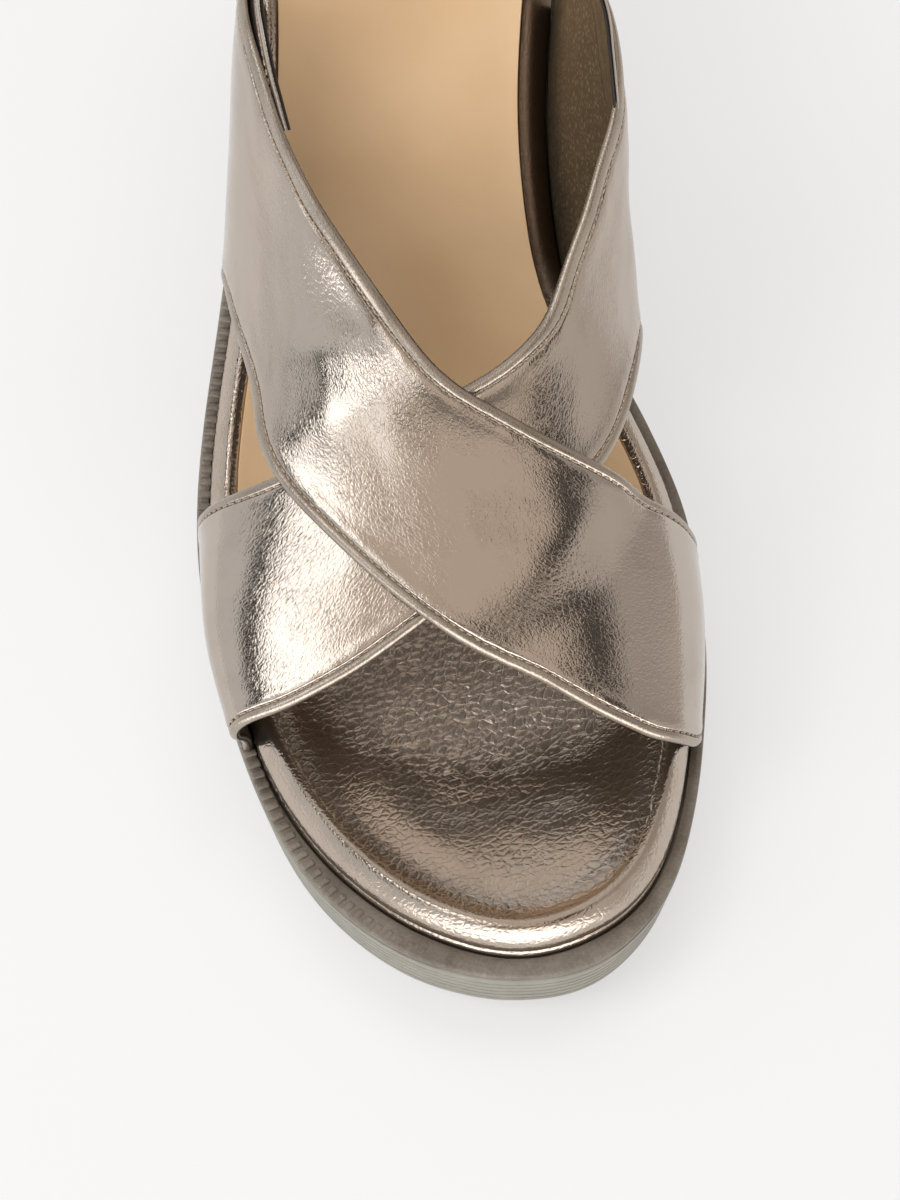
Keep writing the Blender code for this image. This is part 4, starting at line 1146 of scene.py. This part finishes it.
def makeFloor():
    # white paper on a light table: even and almost without shadow, as under the photographed shoe
    material, tree, shader = newMaterial("mattFloorPaper", "a1a1a2", 0.9, 0.0, Specular_IOR_Level=0.2,
                                         Emission_Color=(1, 1, 1, 1), Emission_Strength=0.53)
    place = addNode(tree, "ShaderNodeTexCoord").outputs["Object"]
    grain = addNode(tree, "ShaderNodeTexNoise", {"Vector": place, "Scale": 1 / (1.5 * mm)})
    bumped(tree, shader, [(grain, 0.01 * mm)])
    mesh = bpy.data.meshes.new("floor")
    mesh.from_pydata([(-4, -4, 0), (4, -4, 0), (4, 4, 0), (-4, 4, 0)], [], [(0, 1, 2, 3)])
    mesh.materials.append(material)
    newPiece("floor", mesh)


# what the studio shows the foil, by the angle sideways and upwards from the camera's own line, in degrees.
# Each patch lies over those before it, with soft edges: in turn the right wall and its darker upper part,
# a warm panel round the camera, a dark strip under it, a dim patch on the upper left, the bright low front,
# a small softbox and the tall one on the left, and two dark gaps, left and right
studio = dict(walls=(0.80, 0.81, 0.82), strength=1.0, patches=[
    dict(side=(35, 175), up=(-80, 80), soft=(8, 14), colour=(0.68, 0.64, 0.60)),
    dict(side=(34, 175), up=(16, 80), soft=(8, 12), colour=(0.48, 0.44, 0.41)),
    dict(side=(-22, 36), up=(-70, 82), soft=(8, 12), colour=(0.76, 0.66, 0.57)),
    dict(side=(-28, 22), up=(-17, -4), soft=(10, 8), colour=(0.24, 0.21, 0.19)),
    dict(side=(-42, -20), up=(27, 50), soft=(8, 6), colour=(0.42, 0.38, 0.35)),
    dict(side=(-110, 75), up=(-72, -28), soft=(12, 6), colour=(3.3, 3.3, 3.3)),
    dict(side=(-26, -14), up=(-4, 9), soft=(5, 5), colour=(1.9, 1.9, 1.9)),
    dict(side=(-43, -20), up=(9, 28), soft=(3, 5), colour=(2.8, 2.85, 2.9)),
    dict(side=(-56, -43), up=(-1, 40), soft=(3, 6), colour=(0.03, 0.027, 0.024)),
    dict(side=(18, 36), up=(-2, 31), soft=(4, 8), colour=(0.03, 0.027, 0.024)),
])


def makeWorld():
    world = bpy.data.worlds.new("studio")
    bpy.context.scene.world = world
    world.use_nodes = True
    tree = world.node_tree
    tree.nodes.clear()
    way = addNode(tree, "ShaderNodeTexCoord").outputs["Generated"]
    back, right, up = cameraAxes()
    parts = [addNode(tree, "ShaderNodeVectorMath", {0: way, 1: axis}, operation="DOT_PRODUCT")
             for axis in (right, back, up)]
    sideways = addNode(tree, "ShaderNodeMath", {0: parts[0], 1: parts[1]}, operation="ARCTAN2")
    upwards = addNode(tree, "ShaderNodeMath", {0: parts[2]}, operation="ARCSINE")
    colour = addNode(tree, "ShaderNodeRGB").outputs[0]
    colour.default_value = (*studio["walls"], 1)
    for patch in studio["patches"]:
        share = 1.0
        for angle, name, blur in zip((sideways, upwards), ("side", "up"), patch["soft"]):
            for edge, sign in zip(patch[name], (1, -1)):
                start, end = math.radians(edge - sign * blur / 2), math.radians(edge + sign * blur / 2)
                step = addNode(tree, "ShaderNodeMapRange",
                               {"Value": angle, "From Min": start, "From Max": end},
                               interpolation_type="SMOOTHSTEP")
                share = addNode(tree, "ShaderNodeMath", {0: share, 1: step}, operation="MULTIPLY")
        colour = addNode(tree, "ShaderNodeMix", {"Factor": share, "A": colour, "B": (*patch["colour"], 1.0)},
                         data_type="RGBA", clamp_result=False)
    background = addNode(tree, "ShaderNodeBackground", {"Color": colour, "Strength": studio["strength"]})
    addNode(tree, "ShaderNodeOutputWorld", {"Surface": background})


lights = [
    dict(name="softboxLeft", place=(-.75, -.35, .75), size=(.5, .7), watts=3.2),
    dict(name="softboxTop", place=(.10, .25, 1.1), size=(.8, .5), watts=2.4),
]


def makeLights():
    for light in lights:
        lamp = bpy.data.lights.new(light["name"], "AREA")
        lamp.shape = "RECTANGLE"
        lamp.size, lamp.size_y = light["size"]
        lamp.energy = light["watts"]
        holder = bpy.data.objects.new(light["name"], lamp)
        holder.location = light["place"]
        holder.visible_glossy = False  # what the foil mirrors is all in the studio round it
        holder.rotation_mode = "QUATERNION"
        holder.rotation_quaternion = (Vector((0, 0, .04)) - Vector(light["place"])).to_track_quat("-Z", "Y")
        bpy.context.scene.collection.objects.link(holder)


makeCamera()
bpy.context.scene.view_settings.view_transform = "Standard"  # pale paper stays pale, as in the photograph
makeFloor()
makeWorld()
makeLights()

print("finishing")
